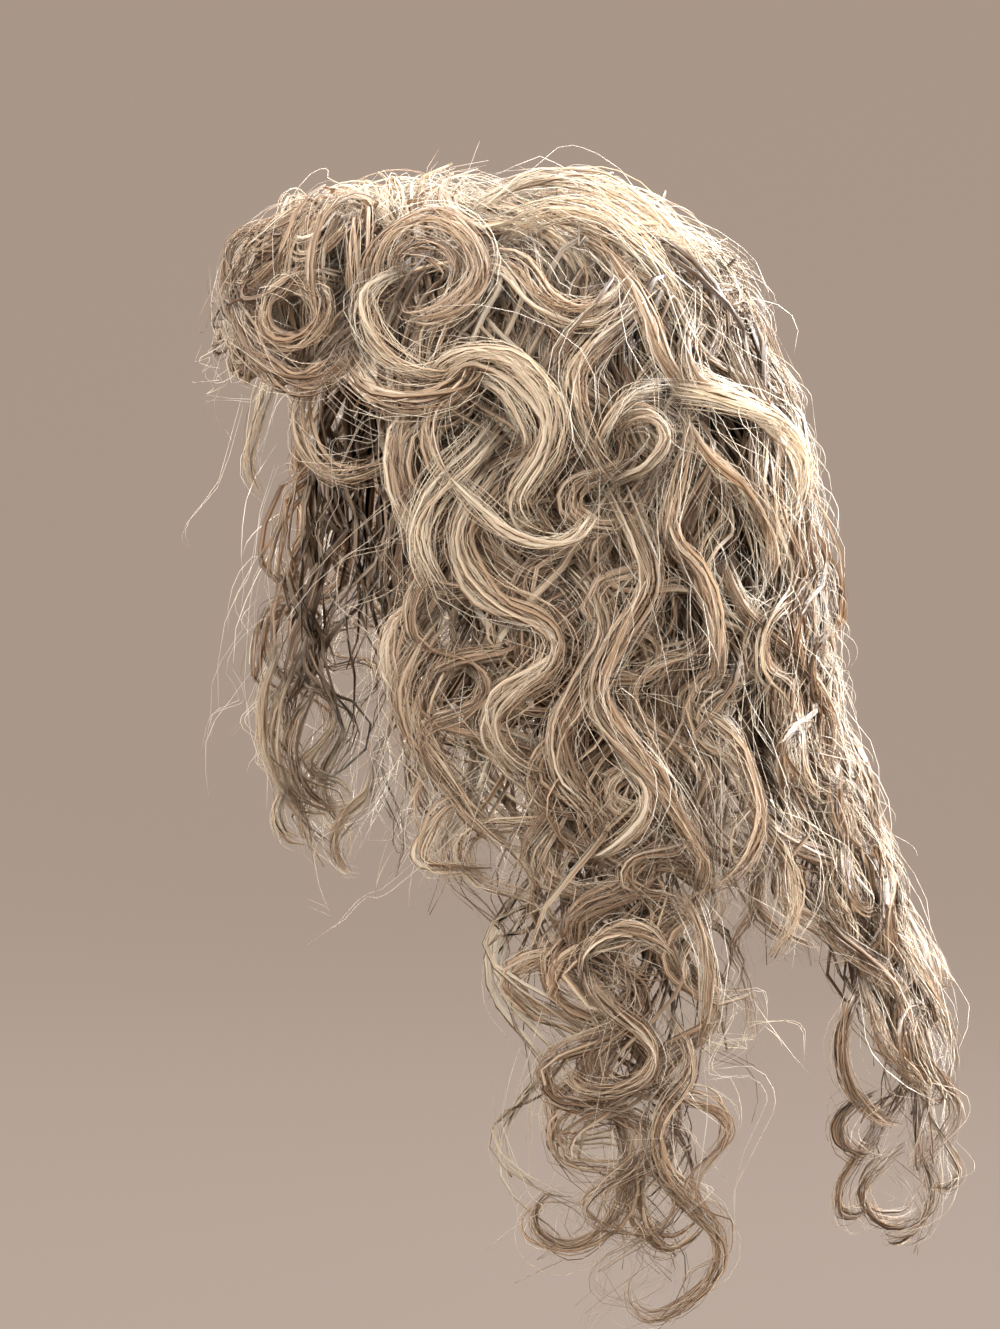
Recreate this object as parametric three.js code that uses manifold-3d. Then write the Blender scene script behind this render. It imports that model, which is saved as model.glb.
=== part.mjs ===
// A long curly wig: a thin hollow cap, and the rows of hair sewn on it as curled locks fused to their weft.
// Millimetres, +Z up. The wearer faces -Y, and +X is the wearer's left.
// The origin is the middle of the head's girth, the level where a head fills the cap.
import * as THREE from "three";
import { mergeVertices } from "three/addons/utils/BufferGeometryUtils.js";
import Module from "manifold-3d";

// The head that the cap is made for: 542 mm round the girth
const HEAD_HALF_WIDTH = 77;
const HEAD_HALF_DEPTH = 95;
const CROWN_RISE = 68;

// The cap's wall, and the hair's backing that is sewn on it
const CAP_WALL = 2;
const CAP_BANDS = 8;
const CAP_SEGMENTS = 32;
const NECK_MIDDLE = new THREE.Vector3(0, 0, -70);
const SEAT_GAP = 0.4;
const WEFT_THICKNESS = 5;
const WEFT_INSIDE = CAP_WALL + SEAT_GAP;
const WEFT_MIDDLE = WEFT_INSIDE + WEFT_THICKNESS / 2;
const WEFT_OUTSIDE = WEFT_INSIDE + WEFT_THICKNESS;

// Below the girth a degree of fall stands for this many millimetres of straight wall
const DROP_PER_DEGREE = 1.2;
const GIRTH_FALL = 90;
const NECK_FALL = 165;

// Where the cap ends, as degrees of fall from the crown, going round from the face to the nape
const CAP_RIM = [
  { around: 0, fall: 80 },
  { around: 35, fall: 80 },
  { around: 52, fall: 85 },
  { around: 66, fall: 100 },
  { around: 78, fall: 122 },
  { around: 92, fall: 112 },
  { around: 112, fall: 118 },
  { around: 140, fall: 146 },
  { around: 180, fall: 152 },
];

// The surface that the locks' middle lines run on, by height:
// half widths to each side, and front and back reach
const HAIR_SPREAD = [
  { z: 35, left: 84, right: 84, front: 98, back: 90 },
  { z: 0, left: 97, right: 97, front: 112, back: 108 },
  { z: -60, left: 104, right: 103, front: 122, back: 115 },
  { z: -120, left: 111, right: 106, front: 124, back: 119 },
  { z: -180, left: 118, right: 107, front: 122, back: 138 },
  { z: -240, left: 124, right: 107, front: 118, back: 153 },
  { z: -330, left: 126, right: 107, front: 114, back: 150 },
];

// Every long lock, by section: where it leaves the weft and where it hangs, its lowest point,
// and the size of its curl
const LONG_LOCKS = {
  left_hair: [
    { rootAround: 72, hangAround: 80, lowest: -182, curl: 9, pitch: 84, half: 11 },
    { rootAround: 83, hangAround: 90, lowest: -212, curl: 10, pitch: 84, half: 12 },
    { rootAround: 94, hangAround: 100, lowest: -318, curl: 11, pitch: 84, half: 13 },
    { rootAround: 105, hangAround: 111, lowest: -326, curl: 11, pitch: 84, half: 13 },
    { rootAround: 116, hangAround: 121, lowest: -258, curl: 10, pitch: 84, half: 12 },
  ],
  back_hair: [
    { rootAround: 131, hangAround: 134, lowest: -208, curl: 9, pitch: 84, half: 12 },
    { rootAround: 145, hangAround: 148, lowest: -216, curl: 10, pitch: 84, half: 13 },
    { rootAround: 158, hangAround: 160, lowest: -318, curl: 11, pitch: 84, half: 13 },
    { rootAround: 171, hangAround: 172, lowest: -326, curl: 11, pitch: 84, half: 13 },
    { rootAround: 184, hangAround: 184, lowest: -300, curl: 10, pitch: 84, half: 13 },
    { rootAround: 198, hangAround: 198, lowest: -214, curl: 10, pitch: 84, half: 13 },
    { rootAround: 212, hangAround: 213, lowest: -208, curl: 9, pitch: 84, half: 12 },
    { rootAround: 225, hangAround: 227, lowest: -202, curl: 9, pitch: 84, half: 12 },
  ],
  right_hair: [
    { rootAround: 241, hangAround: 241, lowest: -206, curl: 9, pitch: 84, half: 12 },
    { rootAround: 254, hangAround: 255, lowest: -204, curl: 10, pitch: 84, half: 12 },
    { rootAround: 268, hangAround: 270, lowest: -202, curl: 10, pitch: 84, half: 12 },
    { rootAround: 281, hangAround: 285, lowest: -204, curl: 10, pitch: 84, half: 12 },
    { rootAround: 294, hangAround: 300, lowest: -198, curl: 9, pitch: 84, half: 11 },
    { rootAround: 303, hangAround: 313, lowest: -194, curl: 8, pitch: 80, half: 9 },
  ],
};
const LONG_LOCK_ROOT_FALL = 60;
const FIRST_LEVEL = 32;
const LEVEL_STEP = 52;
const PHASE_PER_DEGREE = 2.5;

// The weft patches on the cap that the locks are fused to
const WEFT_PATCHES = {
  left_hair: { from: 62, to: 122, top: 52, bottom: 97 },
  back_hair: { from: 124, to: 231, top: 52, bottom: 122 },
  right_hair: { from: 233, to: 312, top: 52, bottom: 96 },
  fringe_curls: { from: -43, to: 46, top: 40, bottom: 78 },
};
const WEFT_FACE = 14;

// The crown's whorl: each lock lies on the crown weft and sweeps round as it falls, as far as the weft goes
const CROWN_EDGE = [
  { around: 0, fall: 35 },
  { around: 45, fall: 35 },
  { around: 60, fall: 49 },
  { around: 180, fall: 49 },
];
const CROWN_BANDS = 3;
const CROWN_SEGMENTS = 24;
const CROWN_LOCKS = 6;
const CROWN_LOCK_STEPS = 3;
const CROWN_LOCK = { rootFall: 8, edgeMargin: 7, sweep: 80, lift: 15, half: 15 };

// The forehead's rolled curls, each part of an oval coil about a line that follows the hairline
const FRINGE_ROLL = { fall: 58, standOff: 3, depth: 25, height: 31, from: 140, to: -65, half: 13 };
const FRINGE_AROUND = [-33, -13, 7, 27, 45];
const FRINGE_STEPS = 7;

// The loop that swings over the left temple, as points on the way round it
const TEMPLE_LOOP = [
  { around: 58, fall: 72, lift: 1 },
  { around: 53, fall: 87, lift: 8 },
  { around: 47, fall: 98, lift: 11 },
  { around: 50, fall: 110, lift: 12 },
  { around: 58, fall: 114, lift: 11 },
  { around: 65, fall: 109, lift: 7 },
];
const TEMPLE_HALF = 5;

// A lock's section is a flat oval, and its faces are about this long
const LOCK_SIDES = 5;
const LOCK_FLATNESS = 0.58;
const LOCK_STEP = 16;
const LEAST_STEPS = 7;
const PATH_SAMPLES = 160;
const RUN_SHARE = 0.01;

// On the way from root to tip a lock swells and then tapers, and its curl opens
const LOCK_FORM = [
  { share: 0, width: 0.72, reach: 0 },
  { share: 0.28, width: 1, reach: 1 },
  { share: 0.72, width: 1, reach: 1 },
  { share: 1, width: 0.38, reach: 1 },
];

// Vertices nearer than this are one vertex
const MERGE_WITHIN = 1e-3;

const wasm = await Module();
wasm.setup();

// Plain helpers for angles and tables

function radians(degrees) {
  return (degrees * Math.PI) / 180;
}

// Reads one column of a table at a place between its rows.
function readTable(rows, key, column, place) {
  const rising = rows[0][key] < rows[rows.length - 1][key];
  const ordered = rising ? rows : [...rows].reverse();
  const last = ordered.length - 1;
  if (place <= ordered[0][key]) return ordered[0][column];
  if (place >= ordered[last][key]) return ordered[last][column];
  const next = ordered.findIndex((row) => row[key] > place);
  const low = ordered[next - 1];
  const high = ordered[next];
  const share = THREE.MathUtils.smoothstep(place, low[key], high[key]);
  return low[column] + (high[column] - low[column]) * share;
}

// Places on the head and in the hair

// A point over the head: degrees round from the face, degrees of fall from the crown,
// and the distance off the skin.
function overHead(around, fall, lift) {
  const turn = radians(around);
  const lean = radians(Math.min(fall, GIRTH_FALL));
  const level = new THREE.Vector3(
    HEAD_HALF_WIDTH * Math.sin(lean) * Math.sin(turn),
    -HEAD_HALF_DEPTH * Math.sin(lean) * Math.cos(turn),
    CROWN_RISE * Math.cos(lean),
  );
  const outward = new THREE.Vector3(
    (Math.sin(lean) * Math.sin(turn)) / HEAD_HALF_WIDTH,
    (-Math.sin(lean) * Math.cos(turn)) / HEAD_HALF_DEPTH,
    Math.cos(lean) / CROWN_RISE,
  ).normalize();
  level.z -= Math.max(0, fall - GIRTH_FALL) * DROP_PER_DEGREE;
  return level.addScaledVector(outward, lift);
}

// A point on the surface that the long locks hang on.
function inCurtain(around, z) {
  const turn = radians(around);
  const side = Math.sin(turn) > 0 ? "left" : "right";
  const end = Math.cos(turn) > 0 ? "front" : "back";
  return new THREE.Vector3(
    readTable(HAIR_SPREAD, "z", side, z) * Math.sin(turn),
    -readTable(HAIR_SPREAD, "z", end, z) * Math.cos(turn),
    z,
  );
}

// Which way is outward at a point: away from the head's middle, and level below the girth.
function outwardAt(point) {
  return new THREE.Vector3(point.x, point.y, Math.max(0, point.z)).normalize();
}

// Turning three.js geometries into solids and back

function solidFrom(geometry) {
  const bare = geometry.clone();
  bare.deleteAttribute("normal");
  bare.deleteAttribute("uv");
  const merged = mergeVertices(bare, MERGE_WITHIN);
  const mesh = new wasm.Mesh({
    numProp: 3,
    vertProperties: new Float32Array(merged.attributes.position.array),
    triVerts: new Uint32Array(merged.index.array),
  });
  return new wasm.Manifold(mesh);
}

function geometryFrom(solid) {
  const mesh = solid.getMesh();
  const geometry = new THREE.BufferGeometry();
  geometry.setAttribute("position", new THREE.BufferAttribute(mesh.vertProperties, 3));
  geometry.setIndex(new THREE.BufferAttribute(mesh.triVerts, 1));
  geometry.computeVertexNormals();
  return geometry;
}

function fuse(geometries) {
  return geometries.map(solidFrom).reduce((whole, piece) => whole.add(piece));
}

// Moves every vertex of a geometry to the place that a function gives for it.
function reshape(geometry, placeOf) {
  const position = geometry.attributes.position;
  const vertex = new THREE.Vector3();
  for (let i = 0; i < position.count; i += 1) {
    const place = placeOf(vertex.fromBufferAttribute(position, i));
    position.setXYZ(i, place.x, place.y, place.z);
  }
  return geometry;
}

// Shells that lie on the head

// Where a lathe's vertex goes: its radius is the share of the fall, and its angle the way round the head.
function onLathe(vertex, fallAt, lift) {
  const share = Math.hypot(vertex.x, vertex.z);
  const around = THREE.MathUtils.radToDeg(Math.atan2(vertex.x, vertex.z));
  return overHead(around, share * fallAt(around), lift);
}

// Evenly spaced radii of a lathe's profile, from its axis out to 1, all at one level.
function radii(bands, level) {
  return Array.from({ length: bands + 1 }, (_, band) => new THREE.Vector2(band / bands, level));
}

// A dome of one wall between two lifts, from the crown down to a fall that may change round the head.
function dome(insideLift, outsideLift, fallAt, bands, segments) {
  const profile = [...radii(bands, 0), ...radii(bands, 1).reverse()];
  const lathe = new THREE.LatheGeometry(profile, segments);
  return reshape(lathe, (v) => onLathe(v, fallAt, THREE.MathUtils.lerp(insideLift, outsideLift, v.y)));
}

// The room that hair keeps out of: everything inside a lift off the head, closed below at the neck.
function headRoom(lift, fallAt) {
  const profile = [new THREE.Vector2(0, 1), ...radii(CAP_BANDS, 0).reverse()];
  const lathe = new THREE.LatheGeometry(profile, CAP_SEGMENTS);
  return reshape(lathe, (v) => (v.y > 0 ? NECK_MIDDLE : onLathe(v, fallAt, lift)));
}

// A patch of weft over a stretch of the head.
function weftPatch({ from, to, top, bottom }) {
  const across = Math.ceil((to - from) / WEFT_FACE);
  const down = Math.ceil((bottom - top) / WEFT_FACE);
  const slab = new THREE.BoxGeometry(1, 1, 1, across, down, 1);
  return reshape(slab, (v) => {
    const around = from + (v.x + 0.5) * (to - from);
    const fall = top + (0.5 - v.y) * (bottom - top);
    return overHead(around, fall, THREE.MathUtils.lerp(CAP_WALL, WEFT_OUTSIDE, v.z + 0.5));
  });
}

// Locks

// A lock: a flat oval section swept along a middle line, wound about it as a loose ringlet.
function lock(points, { half, curl = 0, pitch = 1, phase = 0 }) {
  const line = new THREE.CatmullRomCurve3(points, false, "centripetal");
  line.arcLengthDivisions = PATH_SAMPLES;
  const length = line.getLength();
  const steps = Math.max(LEAST_STEPS, Math.round(length / LOCK_STEP));

  const wound = (share) => {
    const middle = line.getPointAt(share);
    const along = line.getTangentAt(share);
    const out = outwardAt(middle);
    out.addScaledVector(along, -out.dot(along)).normalize();
    const across = new THREE.Vector3().crossVectors(along, out);
    const turn = radians(phase) + (2 * Math.PI * share * length) / pitch;
    const reach = curl * readTable(LOCK_FORM, "share", "reach", share);
    const spoke = out.clone().multiplyScalar(Math.cos(turn)).addScaledVector(across, Math.sin(turn));
    return { point: middle.addScaledVector(spoke, reach), spoke, out };
  };

  const rod = new THREE.CylinderGeometry(1, 1, 1, LOCK_SIDES, steps);
  return reshape(rod, (v) => {
    const share = THREE.MathUtils.clamp(0.5 - v.y, 0, 1);
    const here = wound(share);
    const before = wound(Math.max(0, share - RUN_SHARE)).point;
    const after = wound(Math.min(1, share + RUN_SHARE)).point;
    const run = after.sub(before).normalize();
    const thin = curl > 0 ? here.spoke : here.out;
    thin.addScaledVector(run, -thin.dot(run)).normalize();
    const wide = new THREE.Vector3().crossVectors(thin, run);
    const size = half * readTable(LOCK_FORM, "share", "width", share);
    return here.point.addScaledVector(wide, v.x * size).addScaledVector(thin, v.z * size * LOCK_FLATNESS);
  });
}

// A long lock leaves its weft, rounds the head and hangs to its lowest point.
function longLock(row) {
  const levels = [];
  for (let z = FIRST_LEVEL; z > row.lowest + LEVEL_STEP / 2; z -= LEVEL_STEP) {
    levels.push(z);
  }
  levels.push(row.lowest);
  const hanging = levels.map((z, step) => {
    const around = THREE.MathUtils.lerp(row.rootAround, row.hangAround, step / (levels.length - 1));
    return inCurtain(around, z);
  });
  const root = overHead(row.rootAround, LONG_LOCK_ROOT_FALL, WEFT_MIDDLE);
  return lock([root, ...hanging], { ...row, phase: row.rootAround * PHASE_PER_DEGREE });
}

function crownEdge(around) {
  const fromFace = Math.abs(THREE.MathUtils.euclideanModulo(around + 180, 360) - 180);
  return readTable(CROWN_EDGE, "around", "fall", fromFace);
}

function crownLock(index) {
  const { rootFall, edgeMargin, sweep, lift, half } = CROWN_LOCK;
  const start = (index * 360) / CROWN_LOCKS;
  const points = [];
  for (let step = 0; step <= CROWN_LOCK_STEPS; step += 1) {
    const share = step / CROWN_LOCK_STEPS;
    const around = start + share * sweep;
    const fall = THREE.MathUtils.lerp(rootFall, crownEdge(around) - edgeMargin, share);
    points.push(overHead(around, fall, step === 0 ? WEFT_MIDDLE : lift));
  }
  return lock(points, { half });
}

function fringeLock(around) {
  const { fall, standOff, depth, height, from, to, half } = FRINGE_ROLL;
  const middle = overHead(around, fall, WEFT_INSIDE + standOff);
  const forward = new THREE.Vector3(middle.x, middle.y, 0).normalize();
  const points = [];
  for (let step = 0; step <= FRINGE_STEPS; step += 1) {
    const angle = radians(THREE.MathUtils.lerp(from, to, step / FRINGE_STEPS));
    const point = middle.clone().addScaledVector(forward, depth * Math.cos(angle));
    point.z += height * Math.sin(angle);
    points.push(point);
  }
  return lock(points, { half });
}

function templeCurl() {
  const points = TEMPLE_LOOP.map(({ around, fall, lift }) => overHead(around, fall, WEFT_INSIDE + lift));
  return lock(points, { half: TEMPLE_HALF });
}

// The pieces and their finishes

const capNet = new THREE.MeshStandardMaterial({ color: 0xb9a184, roughness: 0.9, metalness: 0 });
const paleHair = new THREE.MeshStandardMaterial({ color: 0xcdb596, roughness: 0.55, metalness: 0 });
const ashHair = new THREE.MeshStandardMaterial({ color: 0xb39a80, roughness: 0.6, metalness: 0 });

function piece(name, geometry, material) {
  const mesh = new THREE.Mesh(geometry, material);
  mesh.name = name;
  return mesh;
}

function rimFall(around) {
  return readTable(CAP_RIM, "around", "fall", Math.abs(around));
}

// Hair is fused to its weft, and cut back so that it sits on the cap and leaves the head its room.
const roomForHead = fuse([headRoom(WEFT_INSIDE, rimFall), headRoom(0, () => NECK_FALL)]);
function hair(name, geometries, material) {
  return piece(name, geometryFrom(fuse(geometries).subtract(roomForHead)), material);
}

function wigCap() {
  return piece("wig_cap", dome(0, CAP_WALL, rimFall, CAP_BANDS, CAP_SEGMENTS), capNet);
}

function crownHair() {
  const weft = dome(CAP_WALL, WEFT_OUTSIDE, crownEdge, CROWN_BANDS, CROWN_SEGMENTS);
  const locks = Array.from({ length: CROWN_LOCKS }, (_, index) => crownLock(index));
  return hair("crown_hair", [weft, ...locks], paleHair);
}

function fringeCurls() {
  const weft = weftPatch(WEFT_PATCHES.fringe_curls);
  return hair("fringe_curls", [weft, ...FRINGE_AROUND.map(fringeLock)], paleHair);
}

function curtain(name) {
  const weft = weftPatch(WEFT_PATCHES[name]);
  return hair(name, [weft, ...LONG_LOCKS[name].map(longLock)], ashHair);
}

const wig = new THREE.Group();
wig.add(wigCap(), crownHair(), fringeCurls(), hair("temple_curl", [templeCurl()], paleHair));
wig.add(curtain("left_hair"), curtain("back_hair"), curtain("right_hair"));

export default wig;
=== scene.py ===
"""Looks of a long curly wig: its hair as thousands of strands, its net cap, and a plain studio.

Spans and spreads are what chance picks from: a low and a high end, or a mean and a deviation.
Lengths in them are in millimetres where no MM stands beside them.
"""

import logging
import math
from dataclasses import dataclass, field, replace
from enum import Enum
from typing import NamedTuple

import bpy
import numpy as np
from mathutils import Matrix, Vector


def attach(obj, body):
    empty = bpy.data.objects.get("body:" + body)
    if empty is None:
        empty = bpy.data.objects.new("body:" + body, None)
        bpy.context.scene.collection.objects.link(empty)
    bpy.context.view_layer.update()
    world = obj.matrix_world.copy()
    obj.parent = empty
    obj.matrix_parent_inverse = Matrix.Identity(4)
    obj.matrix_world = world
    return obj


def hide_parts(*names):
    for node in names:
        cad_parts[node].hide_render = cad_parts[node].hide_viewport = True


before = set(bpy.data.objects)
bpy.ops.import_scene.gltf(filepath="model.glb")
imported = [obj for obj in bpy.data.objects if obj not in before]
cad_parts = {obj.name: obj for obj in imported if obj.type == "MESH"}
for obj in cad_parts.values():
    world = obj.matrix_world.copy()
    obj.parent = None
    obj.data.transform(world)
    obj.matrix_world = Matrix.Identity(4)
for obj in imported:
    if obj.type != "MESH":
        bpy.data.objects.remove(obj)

LOG = logging.getLogger("wig")
Array = np.ndarray
Chance = np.random.Generator
Tint = tuple[float, float, float]
Span = tuple[float, float]
Spread = tuple[float, float]
Inputs = dict[str | int, object]

MM = 0.001
FULL_TURN = 2 * math.pi
EITHER_WAY = (-1.0, 1.0)
TINY = 1e-9
BODY = "root"
SEED = 4207
PATH_SAMPLES = 240
SAMPLES_PER_POINT = 24
# The distance after which a wave texture of scale 1 repeats.
WAVE_RUN = math.pi / 10.0


class Section(Enum):
    """A group of hair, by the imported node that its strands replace."""

    CROWN = "crown_hair"
    FRINGE = "fringe_curls"
    TEMPLE = "temple_curl"
    LEFT = "left_hair"
    BACK = "back_hair"
    RIGHT = "right_hair"


class Slot(Enum):
    """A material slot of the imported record."""

    CAP = "cap_net"
    PALE = "pale_hair"
    ASH = "ash_hair"


class Side(Enum):
    """A side of the wearer, by its column in the levels."""

    LEFT = "left"
    RIGHT = "right"


class Level(NamedTuple):
    """How far hair hangs out at one height, in millimetres: to each side, to the front and to the back."""

    height: float
    left: float
    right: float
    front: float
    back: float


class LongLock(NamedTuple):
    """One long lock: degrees round the head at its root and where it hangs, and sizes in millimetres."""

    root: float
    hang: float
    lowest: float
    curl: float
    half: float


class Seen(NamedTuple):
    """A place on a curl, by where the photograph's frame shows it, and how far off the hair it is in mm."""

    across: float
    down: float
    lift: float


class Edge(NamedTuple):
    """How far round a curtain reaches at one height in mm: degrees at its first and its last edge."""

    height: float
    first: float
    last: float


class LoopPoint(NamedTuple):
    """A place over the head: degrees round from the face, degrees of fall from the crown, and lift in mm."""

    around: float
    fall: float
    lift: float


class RimPoint(NamedTuple):
    """A place on the cap's edge: degrees round from the face, and degrees of fall from the crown."""

    around: float
    fall: float


class Lamp(NamedTuple):
    """A square lamp: where it stands, its side in metres, its power in watts and its colour."""

    name: str
    place: tuple[float, float, float]
    size: float
    power: float
    tint: Tint


def unit(vectors: Array) -> Array:
    """Vectors brought to length one."""
    length = np.linalg.norm(vectors, axis=-1, keepdims=True)
    return vectors / np.maximum(length, TINY)


def ease(values: Array, low: float, high: float) -> Array:
    """A smooth step from 0 to 1.

    Args:
        values: Where to read the step.
        low: Where it leaves 0.
        high: Where it reaches 1.

    Returns:
        The step's values.
    """
    share = np.clip((values - low) / (high - low), 0.0, 1.0)
    return share * share * (3.0 - 2.0 * share)


def across_to(vectors: Array, run: Array) -> Array:
    """The parts of vectors that stand square to a run of unit vectors, as unit vectors."""
    return unit(vectors - run * np.sum(vectors * run, axis=-1, keepdims=True))


def smooth_path(points: Array) -> Array:
    """A smooth line through points.

    Args:
        points: The points to pass through, one a row.

    Returns:
        Samples at even distances along the line, one a row.
    """
    ends = np.vstack([2 * points[0] - points[1], points, 2 * points[-1] - points[-2]])
    steps = np.linspace(0.0, 1.0, SAMPLES_PER_POINT, endpoint=False)[:, None]
    runs = []
    for before, start, end, after in zip(ends, ends[1:], ends[2:], ends[3:]):
        bend = 2 * before - 5 * start + 4 * end - after
        turn = -before + 3 * start - 3 * end + after
        runs.append(start + 0.5 * (steps * (end - before) + steps**2 * bend + steps**3 * turn))
    line = np.vstack([*runs, points[-1:]])
    travelled = np.concatenate([[0.0], np.cumsum(np.linalg.norm(np.diff(line, axis=0), axis=1))])
    even = np.linspace(0.0, travelled[-1], PATH_SAMPLES)
    return np.stack([np.interp(even, travelled, line[:, axis]) for axis in range(3)], axis=1)


def read_along(samples: Array, share: Array) -> Array:
    """Reads evenly spaced samples at shares of the way along them.

    Args:
        samples: Numbers or vectors, one a row.
        share: Where to read, from 0 to 1, in any shape.

    Returns:
        The values read, with the shape of share and then that of a sample.
    """
    place = np.clip(share, 0.0, 1.0) * (len(samples) - 1)
    low = np.minimum(place.astype(int), len(samples) - 2)
    part = place - low
    if samples.ndim > 1:
        part = part[..., None]
    return samples[low] * (1.0 - part) + samples[low + 1] * part


@dataclass(frozen=True)
class HeadForm:
    """The head that the cap fits, and the surface that the long hair hangs on, both in metres."""

    half_width: float = 77 * MM
    half_depth: float = 95 * MM
    rise: float = 68 * MM
    drop_per_degree: float = 1.2 * MM
    girth_fall: float = 90.0
    clearance: float = 2.8 * MM
    neck: float = -90 * MM
    edge_sharpness: float = 12.0
    levels: tuple[Level, ...] = (
        Level(-330, 126, 107, 114, 157),
        Level(-240, 124, 107, 118, 159),
        Level(-180, 118, 107, 122, 138),
        Level(-120, 111, 106, 124, 115),
        Level(-60, 104, 103, 122, 111),
        Level(0, 97, 97, 112, 98),
        Level(35, 84, 84, 98, 79),
        Level(58, 64, 64, 80, 60),
        Level(74, 42, 42, 54, 42),
        Level(86, 6, 6, 8, 8),
    )

    def over(self, around: Array, fall: Array, lift: Array) -> Array:
        """Places over the head.

        Args:
            around: Degrees round from the face, towards the wearer's left.
            fall: Degrees of fall from the crown; past the girth they go straight down.
            lift: Distance off the head.

        Returns:
            The places, one a row.
        """
        around, fall, lift = np.broadcast_arrays(around, fall, lift)
        turn = np.radians(around)
        lean = np.radians(np.minimum(fall, self.girth_fall))
        ring = np.sin(lean)
        drop = np.maximum(0.0, fall - self.girth_fall) * self.drop_per_degree
        left, front, up = ring * np.sin(turn), ring * np.cos(turn), np.cos(lean)
        place = [self.half_width * left, -self.half_depth * front, self.rise * up - drop]
        normal = [left / self.half_width, -front / self.half_depth, up / self.rise]
        return np.stack(place, axis=-1) + unit(np.stack(normal, axis=-1)) * lift[..., None]

    def reach(self, column: str, height: Array) -> Array:
        """One column of the levels, read at heights.

        Args:
            column: The column's name.
            height: Heights in metres.

        Returns:
            Reaches in metres.
        """
        heights = [level.height * MM for level in self.levels]
        return np.interp(height, heights, [getattr(level, column) * MM for level in self.levels])

    def hanging(self, around: Array, height: Array, lift: Array) -> Array:
        """Places on the surface that long hair hangs on.

        Args:
            around: Degrees round from the face.
            height: Heights in metres.
            lift: Distance off the surface.

        Returns:
            The places, one a row.
        """
        around, height, lift = np.broadcast_arrays(around, height, lift)
        turn = np.radians(around)
        side = np.where(np.sin(turn) > 0, self.reach("left", height), self.reach("right", height))
        end = np.where(np.cos(turn) > 0, self.reach("front", height), self.reach("back", height))
        return np.stack([(side + lift) * np.sin(turn), -(end + lift) * np.cos(turn), height], axis=-1)

    def face(self, side: Side, back: float, height: float) -> float:
        """How far out one side of the hair lies.

        Args:
            side: The side.
            back: Distance behind the head's middle.
            height: Height in metres.

        Returns:
            The distance from the head's middle plane.
        """
        end = self.reach("back" if back > 0 else "front", np.array(height))
        share = abs(back) / float(end)
        share /= (1.0 + share**self.edge_sharpness) ** (1.0 / self.edge_sharpness)
        return float(self.reach(side.value, np.array(height))) * math.sqrt(1.0 - share**2)

    def outward(self, places: Array) -> Array:
        """Which way is outward: away from the head's middle, and level below the girth.

        Args:
            places: Places in the hair.

        Returns:
            Unit vectors.
        """
        flat = places.copy()
        flat[..., 2] = np.maximum(flat[..., 2], 0.0)
        return unit(flat)

    def clear(self, places: Array) -> Array:
        """Moves places out of the room that the head needs.

        Args:
            places: Places in the hair.

        Returns:
            The same places, with those inside the head brought out to its surface.
        """
        size = np.array([self.half_width, self.half_depth, self.rise]) + self.clearance
        scaled = places / size
        scaled[..., 2] = np.maximum(scaled[..., 2], 0.0)
        depth = np.linalg.norm(scaled, axis=-1)
        inside = (depth < 1.0) & (places[..., 2] > self.neck) & (depth > TINY)
        factor = np.where(inside, 1.0 / np.maximum(depth, TINY), 1.0)
        moved = places * factor[..., None]
        moved[..., 2] = np.where(places[..., 2] > 0, moved[..., 2], places[..., 2])
        return moved


class Nodes:
    """A new material's nodes, with short ways to add and to feed them."""

    def __init__(self, name: str) -> None:
        """Starts a material.

        Args:
            name: Its name.
        """
        self.material = bpy.data.materials.new(name)
        self.material.use_nodes = True
        self.tree = self.material.node_tree
        self.shader = self.tree.nodes["Principled BSDF"]

    def add(self, kind: str, output: str, inputs: Inputs, **settings: object) -> bpy.types.NodeSocket:
        """Adds a node.

        Args:
            kind: The node's type.
            output: The output that is wanted.
            inputs: What its sockets take, by name or number.
            settings: The node's own settings.

        Returns:
            The output.
        """
        node = self.tree.nodes.new(f"ShaderNode{kind}")
        for name, value in settings.items():
            setattr(node, name, value)
        self.feed(node, inputs)
        return node.outputs[output]

    def feed(self, node: bpy.types.Node, inputs: Inputs) -> None:
        """Links outputs to a node's sockets, and sets constants on the other sockets.

        Args:
            node: The node.
            inputs: An output or a constant for each socket, by name or number.
        """
        for socket, value in inputs.items():
            if isinstance(value, bpy.types.NodeSocket):
                self.tree.links.new(value, node.inputs[socket])
            else:
                node.inputs[socket].default_value = value


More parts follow.
